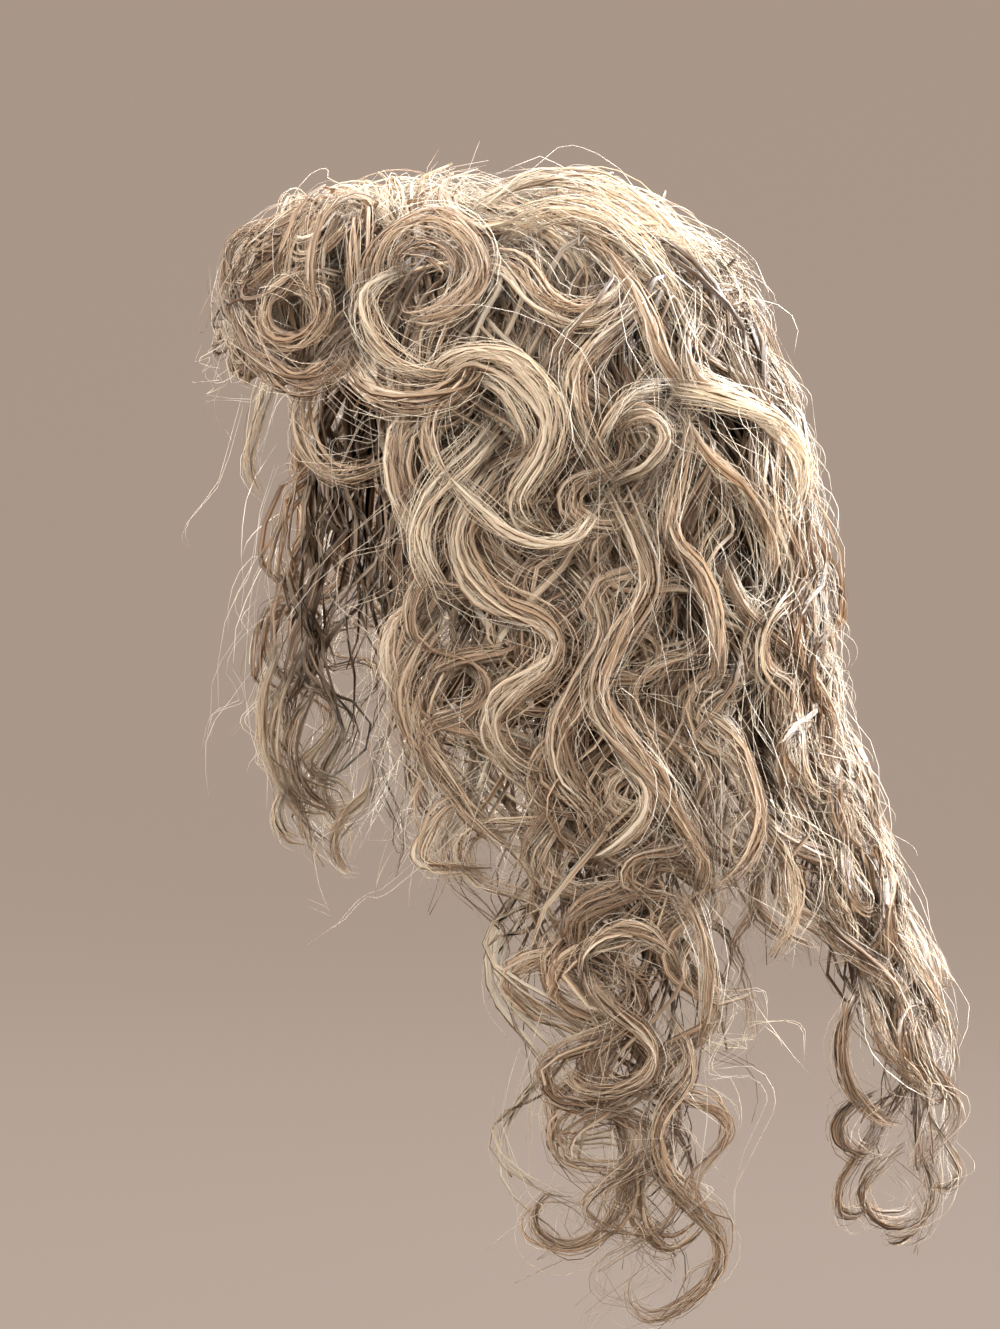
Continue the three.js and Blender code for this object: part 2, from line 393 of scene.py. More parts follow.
@dataclass(frozen=True)
class HairFinish:
    """Silky hair: tones by strand, darker roots, painted shade on deep hair, and fine streaks along each
    strand.
    """

    name: str
    shade: Tint = (0.24, 0.148, 0.092)
    ash: Tint = (0.5, 0.346, 0.226)
    beige: Tint = (0.76, 0.582, 0.412)
    cream: Tint = (0.96, 0.86, 0.7)
    ash_tone: float = 0.34
    beige_tone: float = 0.68
    roughness: float = 0.47
    drawn_gloss: float = 0.7
    sheen: float = 0.3
    sheen_roughness: float = 0.4
    sheen_tint: Tint = (1.0, 0.93, 0.84)
    glow: float = 0.58
    root_share: float = 0.3
    root_shade: float = 0.8
    painted_depth_shade: float = 0.5
    streaks_across: float = 2000.0
    streaks_along: float = 18.0
    streak_detail: float = 3.0
    streak_range: Span = (0.3, 0.7)
    streak_contrast: float = 0.6
    relief: float = 0.9
    relief_depth: float = 0.25 * MM

    def material(self) -> bpy.types.Material:
        """Makes the material.

        Returns:
            A material that reads each strand's tone, way along and depth from its colour attribute.
        """
        made = Nodes(self.name)
        strand = made.add("Attribute", "Color", {}, attribute_name=StrandMesh.ATTRIBUTE)
        tone = made.add("SeparateColor", "Red", {"Color": strand})
        along, depth = tone.node.outputs["Green"], tone.node.outputs["Blue"]
        place = made.add("UVMap", "UV", {}, uv_map=StrandMesh.STREAK_MAP)
        grain = (self.streaks_across, self.streaks_along, 1.0)
        drawn = made.add("Mapping", "Vector", {"Vector": place, "Scale": grain})
        streaks = made.add(
            "TexNoise", "Fac", {"Vector": drawn, "Scale": 1.0, "Detail": self.streak_detail}
        )
        low, high = self.streak_range
        spread = {"From Min": low, "From Max": high}
        spread |= {"To Min": -self.streak_contrast, "To Max": self.streak_contrast}
        streaked = made.add("MapRange", "Result", {"Value": streaks, **spread})
        toned = made.add("Math", "Value", {0: tone, 1: streaked}, operation="ADD", use_clamp=True)
        colour = made.add("ValToRGB", "Color", {"Fac": toned})
        stops = colour.node.color_ramp.elements
        stops[0].color = (*self.shade, 1.0)
        stops[1].color = (*self.cream, 1.0)
        for stop, tint in ((self.ash_tone, self.ash), (self.beige_tone, self.beige)):
            stops.new(stop).color = (*tint, 1.0)

        # Painted shade: hair that lies deep inside is darkened by its depth, down to painted_depth_shade.
        rooted = {"Value": along, "From Max": self.root_share, "To Min": self.root_shade}
        deep_painted_shade = {"Value": depth, "To Min": self.painted_depth_shade}
        shares = {0: made.add("MapRange", "Result", rooted), 1: made.add("MapRange", "Result", deep_painted_shade)}
        dark = made.add("Math", "Value", shares, operation="MULTIPLY")
        layers = {"Factor": 1.0, "A": colour, "B": dark}
        shaded = made.add("Mix", "Result", layers, data_type="RGBA", blend_type="MULTIPLY")

        bumps = {"Strength": self.relief, "Distance": self.relief_depth, "Height": streaks}
        across = made.add(
            "Tangent", "Tangent", {}, direction_type="UV_MAP", uv_map=StrandMesh.STREAK_MAP
        )
        look = {"Base Color": shaded, "Normal": made.add("Bump", "Normal", bumps), "Tangent": across}
        look |= {"Anisotropic": self.drawn_gloss, "Roughness": self.roughness}
        look |= {"Sheen Weight": self.sheen, "Sheen Roughness": self.sheen_roughness}
        made.feed(made.shader, look | {"Sheen Tint": (*self.sheen_tint, 1.0)})
        through = made.add("BsdfTranslucent", "BSDF", {"Color": shaded})
        lit = {"Fac": self.glow, 1: made.shader.outputs["BSDF"], 2: through}
        made.feed(made.tree.nodes["Material Output"], {"Surface": made.add("MixShader", "Shader", lit)})
        return made.material


@dataclass(frozen=True)
class CapFinish:
    """A matt stretch net with rows of sewn weft."""

    name: str = "cap_net_fabric"
    thread: Tint = (0.86, 0.75, 0.61)
    gap: Tint = (0.36, 0.27, 0.195)
    weft: Tint = (0.6, 0.47, 0.345)
    net_pitch: float = 4.2 * MM
    net_slants: Span = (45.0, -45.0)
    weft_pitch: float = 16 * MM
    weft_share: float = 0.12
    weft_core: float = 0.6
    weft_waver: float = 0.35
    waver_scale: float = 60.0
    weft_height: float = 2.0
    relief: float = 0.7
    relief_depth: float = 0.5 * MM
    roughness: float = 0.85
    sheen: float = 0.2

    def material(self) -> bpy.types.Material:
        """Makes the material.

        Returns:
            A material with a diamond net and level rows of weft, on the piece's own map in metres.
        """
        made = Nodes(self.name)
        place = made.add("UVMap", "UV", {}, uv_map=WigCap.NET_MAP)
        threads = {}
        for number, slant in enumerate(self.net_slants):
            lay = {"Vector": place, "Rotation": (0.0, 0.0, math.radians(slant))}
            run = {"Vector": made.add("Mapping", "Vector", lay), "Scale": WAVE_RUN / self.net_pitch}
            threads[number] = made.add("TexWave", "Fac", run, wave_profile="SIN")
        height = made.add("Math", "Value", threads, operation="MAXIMUM")

        rows = {"Vector": place, "Scale": WAVE_RUN / self.weft_pitch}
        rows |= {"Distortion": self.weft_waver, "Detail Scale": self.waver_scale}
        seams = {"Value": made.add("TexWave", "Fac", rows, bands_direction="Y")}
        seams |= {"From Min": 1.0 - self.weft_share, "From Max": 1.0 - self.weft_share * self.weft_core}
        sewn = made.add("MapRange", "Result", seams)

        net = {"Factor": height, "A": (*self.gap, 1.0), "B": (*self.thread, 1.0)}
        layers = {"Factor": sewn, "A": made.add("Mix", "Result", net, data_type="RGBA")}
        cloth = made.add("Mix", "Result", layers | {"B": (*self.weft, 1.0)}, data_type="RGBA")
        heights = {0: sewn, 1: self.weft_height, 2: height}
        raised = made.add("Math", "Value", heights, operation="MULTIPLY_ADD")
        bumps = {"Strength": self.relief, "Distance": self.relief_depth, "Height": raised}
        look = {"Base Color": cloth, "Normal": made.add("Bump", "Normal", bumps)}
        made.feed(made.shader, look | {"Roughness": self.roughness, "Sheen Weight": self.sheen})
        return made.material


@dataclass
class StrandMesh:
    """Collects strands as closed three-sided slivers, and makes one mesh piece of them."""

    ATTRIBUTE = "strand"
    STREAK_MAP = "Streaks"
    BAKE_MAP = "OFBake"
    SIDES = 3
    STREAK_SHIFT = 0.05
    STRIPS_PER_ROW = 200
    STRIP_FILL = 0.86
    STRIP_MARGIN = (1.0 - STRIP_FILL) / 2
    TIP_CORNERS = np.array([[0.0, 0.0], [0.3, 0.0], [0.15, 0.02]])
    SECOND_TIP = np.array([0.4, 0.0])

    thickness: float = 0.6
    rounding: float = 0.9
    gathering: float = 0.75
    places: list[Array] = field(default_factory=list)
    normals: list[Array] = field(default_factory=list)
    marks: list[Array] = field(default_factory=list)
    corners: list[Array] = field(default_factory=list)
    sizes: list[Array] = field(default_factory=list)
    streaks: list[Array] = field(default_factory=list)
    strips: list[Array] = field(default_factory=list)
    vertices: int = 0
    strands: int = 0

    def add(
        self, path: Array, wide: Array, thin: Array, facing: Array, half: Array, tone: Array, depth: float
    ) -> None:
        """Adds strands that all have the same number of rings.

        Args:
            path: Middle lines, by strand and ring.
            wide: Unit vectors across each strand's flat side.
            thin: Unit vectors across its thin side.
            facing: Unit vectors out of the lock that the strands belong to.
            half: Half widths, by strand and ring.
            tone: Tones, by strand and ring, from 0 for dark to 1 for pale; they carry painted light and shade
                on curls.
            depth: 0 for hair deep inside, and 1 for hair on the outside; the finish paints shade on deep
                hair.
        """
        count, rings = path.shape[:2]
        sides = self.SIDES
        angles = FULL_TURN / 4 + np.arange(sides) * FULL_TURN / sides
        ring = (
            path[:, :, None]
            + wide[:, :, None] * (np.cos(angles)[:, None] * half[:, :, None, None])
            + thin[:, :, None] * (np.sin(angles)[:, None] * self.thickness * half[:, :, None, None])
        )
        self.places.append(ring.reshape(-1, 3))
        along = np.broadcast_to(np.linspace(0.0, 1.0, rings)[None, :, None], (count, rings, sides))
        tones = np.broadcast_to(tone[:, :, None], along.shape)
        mark = np.stack([tones, along, np.full(along.shape, depth), np.ones(along.shape)], axis=-1)
        self.marks.append(mark.reshape(-1, 4))

        index = self.vertices + np.arange(count * rings * sides).reshape(count, rings, sides)
        after = np.roll(index, -1, axis=2)
        walls = np.stack([index[:, :-1], after[:, :-1], after[:, 1:], index[:, 1:]], axis=-1)
        ends = np.stack([index[:, 0, ::-1], index[:, -1]], axis=1)
        self.corners += [walls.ravel(), ends.ravel()]
        self.sizes += [np.full(walls.size // 4, 4), np.full(count * 2, sides)]
        self._round(wide, thin, facing)
        self._map(path, half)
        self.vertices += ring.size // 3
        self.strands += count

    def _round(self, wide: Array, thin: Array, facing: Array) -> None:
        """Gives strands the shading of rounded ribbons that lie together on a round lock.

        Args:
            wide: Unit vectors across each strand's flat side, by strand and ring.
            thin: Unit vectors across its thin side.
            facing: Unit vectors out of the lock.
        """
        lean = self.rounding
        top = unit(facing * self.gathering + thin * (1.0 - self.gathering))
        left, right = unit(top - wide * lean), unit(top + wide * lean)
        first = np.stack([top, unit(-thin - wide * lean), right], axis=2)
        second = np.stack([left, unit(-thin + wide * lean), top], axis=2)
        walls = np.stack([first[:, :-1], second[:, :-1], second[:, 1:], first[:, 1:]], axis=3)
        run = np.cross(wide, thin)
        ends = np.stack([-run[:, 0], run[:, -1]], axis=1).repeat(self.SIDES, axis=1)
        self.normals += [walls.reshape(-1, 3), ends.reshape(-1, 3)]

    def _map(self, path: Array, half: Array) -> None:
        """Maps strands twice: in metres for their streaks, and as strips side by side for a bake.

        Args:
            path: Middle lines, by strand and ring.
            half: Half widths, by strand and ring.
        """
        count, rings = path.shape[:2]
        edges = self.SIDES + 1
        number = (self.strands + np.arange(count))[:, None, None]
        gone = np.cumsum(np.linalg.norm(np.diff(path, axis=1), axis=-1), axis=1)
        length = np.concatenate([np.zeros((count, 1)), gone], axis=1)[:, :, None]
        girth = half.mean(axis=1)[:, None, None] * np.linspace(0.0, 2.0, edges)
        self._quads(self.streaks, girth + number * self.STREAK_SHIFT, length)
        self.streaks.append(np.zeros((count * 2 * self.SIDES, 2)))

        column, row = number % self.STRIPS_PER_ROW, number // self.STRIPS_PER_ROW
        strip = column + self.STRIP_MARGIN + self.STRIP_FILL * np.linspace(0.0, 1.0, edges)
        level = row + self.STRIP_MARGIN + self.STRIP_FILL * np.linspace(0.0, 1.0, rings)[None, :, None]
        self._quads(self.strips, strip, level)
        first = np.concatenate([column[:, 0], row[:, 0]], axis=1)[:, None] + self.STRIP_MARGIN
        tips = np.stack([first + self.TIP_CORNERS, first + self.SECOND_TIP + self.TIP_CORNERS], axis=1)
        self.strips.append(tips.reshape(-1, 2))

    def _quads(self, into: list[Array], across: Array, along: Array) -> None:
        """Adds the corners of every wall quad to a map, in the order that the walls have.

        Args:
            into: The map's list.
            across: Places across the map, by strand, ring and edge.
            along: Places along the map, by strand, ring and edge.
        """
        grid = np.stack(np.broadcast_arrays(across, along), axis=-1)
        low, high = grid[:, :-1], grid[:, 1:]
        quads = np.stack([low[:, :, :-1], low[:, :, 1:], high[:, :, 1:], high[:, :, :-1]], axis=3)
        into.append(quads.reshape(-1, 2))

    def piece(self, name: str) -> bpy.types.Object:
        """Makes the mesh and its object.

        Args:
            name: The piece's name.

        Returns:
            The object, at the origin, with its maps and its strand attribute.
        """
        mesh = bpy.data.meshes.new(name)
        places = np.concatenate(self.places)
        corners = np.concatenate(self.corners)
        sizes = np.concatenate(self.sizes)
        mesh.vertices.add(len(places))
        mesh.vertices.foreach_set("co", places.ravel().astype(np.float32))
        mesh.loops.add(len(corners))
        mesh.loops.foreach_set("vertex_index", corners.astype(np.int32))
        mesh.polygons.add(len(sizes))
        starts = np.concatenate([[0], np.cumsum(sizes)[:-1]])
        mesh.polygons.foreach_set("loop_start", starts.astype(np.int32))
        mesh.update(calc_edges=True)
        mesh.validate()

        rows = -(-self.strands // self.STRIPS_PER_ROW)
        strips = np.concatenate(self.strips) / [self.STRIPS_PER_ROW, rows]
        for title, grid in ((self.STREAK_MAP, np.concatenate(self.streaks)), (self.BAKE_MAP, strips)):
            layer = mesh.uv_layers.new(name=title)
            layer.uv.foreach_set("vector", grid.ravel().astype(np.float32))
        marks = mesh.color_attributes.new(self.ATTRIBUTE, "FLOAT_COLOR", "POINT")
        marks.data.foreach_set("color", np.concatenate(self.marks).ravel().astype(np.float32))
        mesh.shade_smooth()
        shading = mesh.attributes.new("custom_normal", "FLOAT_VECTOR", "CORNER")
        shading.data.foreach_set("vector", np.concatenate(self.normals).ravel().astype(np.float32))
        made = bpy.data.objects.new(name, mesh)
        bpy.context.scene.collection.objects.link(made)
        LOG.info("%s: %d strands, %d triangles", name, self.strands, int(np.sum(sizes - 2)))
        return made


@dataclass
class Lock:
    """A bundle of flat strands and fine hairs, wound loosely about a middle line.

    Sizes are in metres and angles in radians. The capital values are habits that all locks share, and
    most of them are shares of a width or of the way from root to tip.
    """

    ROOT_PITCH = 1.12
    CURL_FROM = 0.02
    TIP_FROM = 0.6
    ROLL = 0.5
    HAIRS_PER_CLUMP = 6
    CLUMP_SHIFT = 0.15
    CLUMP_LAG = 0.2
    CLUMP_SWELL = 0.14
    FLAT_SCATTER = 0.12
    HAIR_SCATTER = 0.45
    LATEST_START = 0.03
    RAGGED_POWER = 1.5
    FEWEST_RINGS = 6
    STRAND_LAG = 0.3
    STRAND_SWELL = 0.25
    SPOKE_SHARE = 0.35
    FAN_TO = 0.25
    TIP_NARROWING = 0.45
    GATHERING = 0.4
    GATHERED = (0.2, 0.9)
    ROUND_ASIDE = 0.8
    ROUND_ABOVE = 0.4
    TILT = 0.35
    TILT_PER_ROLL = 0.6
    GRADES = (0.65, 1.25)
    ROOT_TO = 0.12
    TIP_TAPER = 0.88
    STRAND_TONE = 0.6
    LONG_WAVE = 0.12
    SHORT_WAVE = 0.055
    WAVE_CHANGE = (0.7, 1.3)
    WAVE_LIMIT = 1.5
    WAVE_EASE = (0.03, 0.3)

    line: Array
    half: float
    curl: float = 0.0
    pitch: float = 70 * MM
    phase: float = 0.0
    hand: float = 1.0
    flats: int = 6
    hairs: int = 14
    flat_half: float = 1.7 * MM
    hair_half: float = 0.18 * MM
    stride: float = 40 * MM
    flat_bend: float = 0.56
    hair_bend: float = 0.5
    tone: float = 0.5
    tone_spread: float = 0.15
    loose: float = 1.0
    # depth sets painted shade: the lower it is, the darker the lock is painted, as hair lying inside.
    depth: float = 1.0
    section: float = 0.5
    root_fan: float = 0.7
    root_width: float = 0.5
    ragged: float = 0.18
    opening: float = 0.26
    tip_pitch: float = 0.74
    tip_reach: float = 1.15
    waviness: float = 0.8 * MM
    twist: float = 9.0
    breadth: float = 1.5
    # Painted light on curls: paler where a turn faces out, darker where it turns in.
    painted_crest_light: float = 0.1

    def grow(self, head: HeadForm, rng: Chance, flats: StrandMesh, hairs: StrandMesh) -> None:
        """Grows the lock's strands.

        Args:
            head: The head that the hair keeps clear of.
            rng: The source of chance.
            flats: The mesh that takes the flat strands.
            hairs: The mesh that takes the fine hairs.
        """
        self.middle = smooth_path(self.line)
        gaps = np.linalg.norm(np.diff(self.middle, axis=0), axis=1)
        self.length = float(gaps.sum())
        share = np.linspace(0.0, 1.0, len(self.middle))
        run = unit(np.gradient(self.middle, axis=0))
        self.out = across_to(head.outward(self.middle), run)
        self.side = np.cross(run, self.out)
        pitch = self.pitch * (self.ROOT_PITCH + (self.tip_pitch - self.ROOT_PITCH) * share)
        wound = np.concatenate([[0.0], np.cumsum(gaps * FULL_TURN / pitch[1:])])
        self.turn = self.phase + self.hand * wound
        tip = 1.0 + (self.tip_reach - 1.0) * ease(share, self.TIP_FROM, 1.0)
        self.reach = self.curl * ease(share, self.CURL_FROM, self.opening) * tip
        self.roll = rng.normal(0.0, self.ROLL) + rng.normal(0.0, self.twist) * self.length * share
        self._pace(run, np.append(0.0, gaps), pitch)

        clumps = max(self.flats, 1 + self.hairs // self.HAIRS_PER_CLUMP)
        self.clump_shift = np.zeros(1)
        if clumps > 1:
            self.clump_shift = np.linspace(-1.0, 1.0, clumps) * rng.choice(EITHER_WAY)
        self.clump_shift = self.clump_shift + rng.normal(0.0, self.CLUMP_SHIFT, clumps)
        self.clump_through = rng.uniform(-1.0, 1.0, clumps)
        self.clump_lag = rng.normal(0.0, self.CLUMP_LAG * self.loose, clumps)
        self.clump_swell = rng.normal(0.0, self.CLUMP_SWELL * self.loose, clumps)
        self.clump_tone = self.tone + rng.normal(0.0, self.tone_spread, clumps)
        if self.flats:
            self._strands(head, rng, flats, self.flats, self.flat_half, self.flat_bend, self.FLAT_SCATTER)
        if self.hairs:
            self._strands(head, rng, hairs, self.hairs, self.hair_half, self.hair_bend, self.HAIR_SCATTER)

    def _pace(self, run: Array, gaps: Array, pitch: Array) -> None:
        """Works out how far a strand has gone and how much it has bent, all along the middle line.

        Args:
            run: Unit vectors along the middle line.
            gaps: Distances from each sample to the next.
            pitch: The winding's pitch at each sample.
        """
        arm = self.reach * (1.0 + self.breadth) / 2
        wind = FULL_TURN / pitch
        winding = arm * wind**2 / np.sqrt(1.0 + (arm * wind) ** 2)
        bends = np.append(0.0, np.linalg.norm(np.diff(run, axis=0), axis=1))
        self.gone = np.cumsum(gaps)
        self.bent = np.cumsum(bends + gaps * winding)

    def _strands(
        self,
        head: HeadForm,
        rng: Chance,
        into: StrandMesh,
        count: int,
        strand_half: float,
        bend: float,
        scatter: float,
    ) -> None:
        """Grows strands of one width.

        Args:
            head: The head that the hair keeps clear of.
            rng: The source of chance.
            into: The mesh that takes the strands.
            count: How many.
            strand_half: Half a strand's width.
            bend: How far a strand may bend from ring to ring, in radians.
            scatter: How far strands leave their clump, as a share of the bundle.
        """
        member = np.arange(count) % len(self.clump_shift)
        begin = rng.uniform(0.0, self.LATEST_START, count)
        end = 1.0 - self.ragged * rng.uniform(0.0, 1.0, count) ** self.RAGGED_POWER
        pace = self.gone / self.stride + self.bent / bend
        rings = max(self.FEWEST_RINGS, int(pace[-1]) + 2)
        even = np.linspace(0.0, pace[-1], rings)
        where = np.interp(even, pace, np.linspace(0.0, 1.0, len(pace)))
        where = begin[:, None] + (end - begin)[:, None] * where

        lag = self.clump_lag[member] + rng.normal(0.0, self.STRAND_LAG * scatter * self.loose, count)
        swell = rng.normal(0.0, self.STRAND_SWELL * scatter * self.loose, count)
        swell = 1.0 + self.clump_swell[member] + swell
        out_here = read_along(self.out, where)
        angle = read_along(self.turn, where) + lag[:, None]
        wave = read_along(self.side, where) * np.sin(angle)[..., None] * self.breadth
        spoke = out_here * np.cos(angle)[..., None] + wave
        arm = read_along(self.reach, where) * swell[:, None]
        path = read_along(self.middle, where) + spoke * arm[..., None]
        heading = unit(np.gradient(path, axis=1))
        upright = out_here
        if self.curl > 0:
            upright = out_here * (1.0 - self.SPOKE_SHARE) + spoke * self.SPOKE_SHARE
        thin = across_to(upright, heading)
        wide = np.cross(thin, heading)

        fan = 1.0 + self.root_fan * (1.0 - ease(where, 0.0, self.FAN_TO))
        bundle = self.half * fan * (1.0 - self.TIP_NARROWING * ease(where, self.TIP_FROM, 1.0))
        gather = scatter * (1.0 - self.GATHERING * ease(where, *self.GATHERED))
        shift = self.clump_shift[member, None] + rng.normal(0.0, 1.0, (count, 1)) * gather
        through = self.clump_through[member, None] + rng.normal(0.0, 1.0, (count, 1)) * gather
        through = through * self.section
        roll = read_along(self.roll, where)
        aside = (shift * np.cos(roll) - through * np.sin(roll))[..., None]
        above = (shift * np.sin(roll) + through * np.cos(roll))[..., None]
        facing = unit(wide * aside * self.ROUND_ASIDE + thin * (1.0 + self.ROUND_ABOVE * above))
        path = path + (wide * aside + thin * above) * bundle[..., None]
        path = head.clear(path + self._wander(rng, where))

        heading = unit(np.gradient(path, axis=1))
        tilt = (rng.normal(0.0, self.TILT, (count, 1)) + self.TILT_PER_ROLL * roll)[..., None]
        thin = across_to(thin * np.cos(tilt) + wide * np.sin(tilt), heading)
        wide = np.cross(thin, heading)
        grade = rng.uniform(*self.GRADES, count)[:, None]
        taper = self.root_width + (1.0 - self.root_width) * ease(where, 0.0, self.ROOT_TO)
        taper = taper * (1.0 - self.TIP_TAPER * ease(where, self.TIP_FROM, 1.0))
        tone = self.clump_tone[member] + rng.normal(0.0, self.STRAND_TONE * self.tone_spread, count)
        # Painted light: turns of a curl that face outwards are toned paler, and those that turn in darker.
        tone = np.clip(tone[:, None] + self.painted_crest_light * np.cos(angle) * (self.curl > 0), 0.0, 1.0)
        into.add(path, wide, thin, facing, strand_half * grade * taper, tone, self.depth)

    def _wander(self, rng: Chance, where: Array) -> Array:
        """How each strand strays from the bundle on its way.

        Args:
            rng: The source of chance.
            where: Shares of the way along, by strand and ring.

        Returns:
            Displacements, by strand and ring.
        """
        shape = (where.shape[0], 1, 3)
        stray = np.zeros((*where.shape, 3))
        for wave in (self.LONG_WAVE, self.SHORT_WAVE):
            waves = self.length / wave * rng.uniform(*self.WAVE_CHANGE, shape)
            start = rng.uniform(0.0, FULL_TURN, shape)
            size = np.clip(rng.normal(0.0, 1.0, shape), -self.WAVE_LIMIT, self.WAVE_LIMIT)
            size = size * self.waviness * self.loose * (wave / self.SHORT_WAVE)
            stray += size * np.sin(FULL_TURN * waves * where[..., None] + start)
        return stray * ease(where, *self.WAVE_EASE)[..., None]


@dataclass
class Sight:
    """The photograph's camera: where it stands and how it maps its frame."""

    width: float = 1000.0
    height: float = 1329.0
    focal: float = 2808.0
    eye: tuple[float, float, float] = (1.08, -0.0027, -0.023)
    pitch: float = 4.2
    film: float = 36.0
    rounds: int = 6

    def place(self, seen: Seen, head: HeadForm, side: Side) -> Array:
        """The place on one side of the hair that a place in the frame shows.

        Args:
            seen: The place in the frame, and how far it stands off the hair.
            head: The head and the hair's surface.
            side: The side.

        Returns:
            The place in metres.
        """
        right = (seen.across - self.width / 2) / self.focal
        down = (seen.down - self.height / 2) / self.focal
        lean = math.radians(self.pitch)
        ahead = math.cos(lean) - down * math.sin(lean)
        fall = math.sin(lean) + down * math.cos(lean)
        way = 1.0 if side is Side.LEFT else -1.0
        left = 0.0
        for _ in range(self.rounds):
            far = (self.eye[0] - left) / ahead
            back, up = self.eye[1] + right * far, self.eye[2] - fall * far
            left = way * (head.face(side, back, up) + seen.lift * MM)
        return np.array([left, back, up])

    def camera(self) -> None:
        """Makes the camera and gives it to the scene."""
        tilt = (math.radians(90.0 - self.pitch), 0.0, math.radians(90.0))
        bpy.ops.object.camera_add(location=self.eye, rotation=tilt)
        made = bpy.context.object
        made.name = "photo_camera"
        made.data.sensor_width = self.film
        made.data.lens = self.focal / self.height * self.film
        bpy.context.scene.camera = made


@dataclass
class HairPiece:
    """A group of hair: what all groups share. Stray hairs have a more see-through finish than locks, and
    paler colours that paint rim light on them.
    """

    BOW = np.linspace(0.0, 1.0, 6)
    BOW_OUT = np.sin(2.3 * BOW)
    BOW_DOWN = BOW**1.4
    # Strays and wisps are toned paler than their locks: painted rim light.
    STRAY_PAINTED_RIM_LIGHT = 0.2
    STRAY_PALEST = 0.9
    WISP_TONES = (0.55, 0.95)
    FRIZZ_HAIRS = 2
    FRIZZ_HALF = 4 * MM

    section: Section
    finish: bpy.types.Material
    wisp_finish: bpy.types.Material
    slot: Slot
    head: HeadForm
    seed: int

    def __post_init__(self) -> None:
        """Sets up the group's own source of chance and its meshes."""
        self.rng = np.random.default_rng(SEED + self.seed)
        self.flats = StrandMesh(thickness=0.3, rounding=0.45, gathering=0.6)
        self.hairs = StrandMesh()
        self.strays = StrandMesh()

    def pick_tone(self, spread: Spread, limits: Span) -> float:
        """A tone picked about a mean, within limits.

        Args:
            spread: The mean and how far tones spread about it.
            limits: The darkest and the palest.

        Returns:
            The tone.
        """
        return np.clip(self.rng.normal(*spread), *limits)

    def grow(self, lock: Lock) -> None:
        """Grows a lock into the group's meshes."""
        lock.grow(self.head, self.rng, self.flats, self.hairs)

    def grow_strays(self, lock: Lock, count: int, loose: float = 2.3, spread: float = 1.5) -> None:
        """Grows stray hairs about a lock.

        Args:
            lock: The lock that they stray from.
            count: How many.
            loose: How much more freely they run than the lock.
            spread: How much wider than the lock they lie.
        """
        stray = replace(
            lock,
            half=lock.half * spread,
            flats=0,
            hairs=count,
            hair_half=0.16 * MM,
            hair_bend=0.45,
            tone=min(lock.tone + self.STRAY_PAINTED_RIM_LIGHT, self.STRAY_PALEST),
            loose=loose,
            depth=1.0,
        )
        stray.grow(self.head, self.rng, self.flats, self.strays)

    def grow_wisp(self, line: Array, count: int = 1, half: float = 1 * MM) -> None:
        """Grows single fine hairs along a line.

        Args:
            line: The line's points.
            count: How many hairs.
            half: Half the width that they spread over.
        """
        tone = self.rng.uniform(*self.WISP_TONES)
        wisp = Lock(line, half, flats=0, hairs=count, hair_half=0.14 * MM, hair_bend=0.45, tone=tone)
        wisp.root_width = 0.3
        wisp.grow(self.head, self.rng, self.flats, self.strays)

    def dress(self, locks: str, others: str) -> None:
        """Makes the pieces, gives them their finish, ties them to the body, and hides the imported node that
        they stand for.

        Args:
            locks: The name of the piece with the locks.
            others: How the names of the pieces with fine hair and strays begin.
        """
        meshes = {locks: self.flats, f"{others}_fine_hair": self.hairs, f"{others}_strays": self.strays}
        for name, mesh in meshes.items():
            made = mesh.piece(name)
            made.data.materials.append(self.wisp_finish if mesh is self.strays else self.finish)
            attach(made, BODY)
            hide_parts(self.section.value)


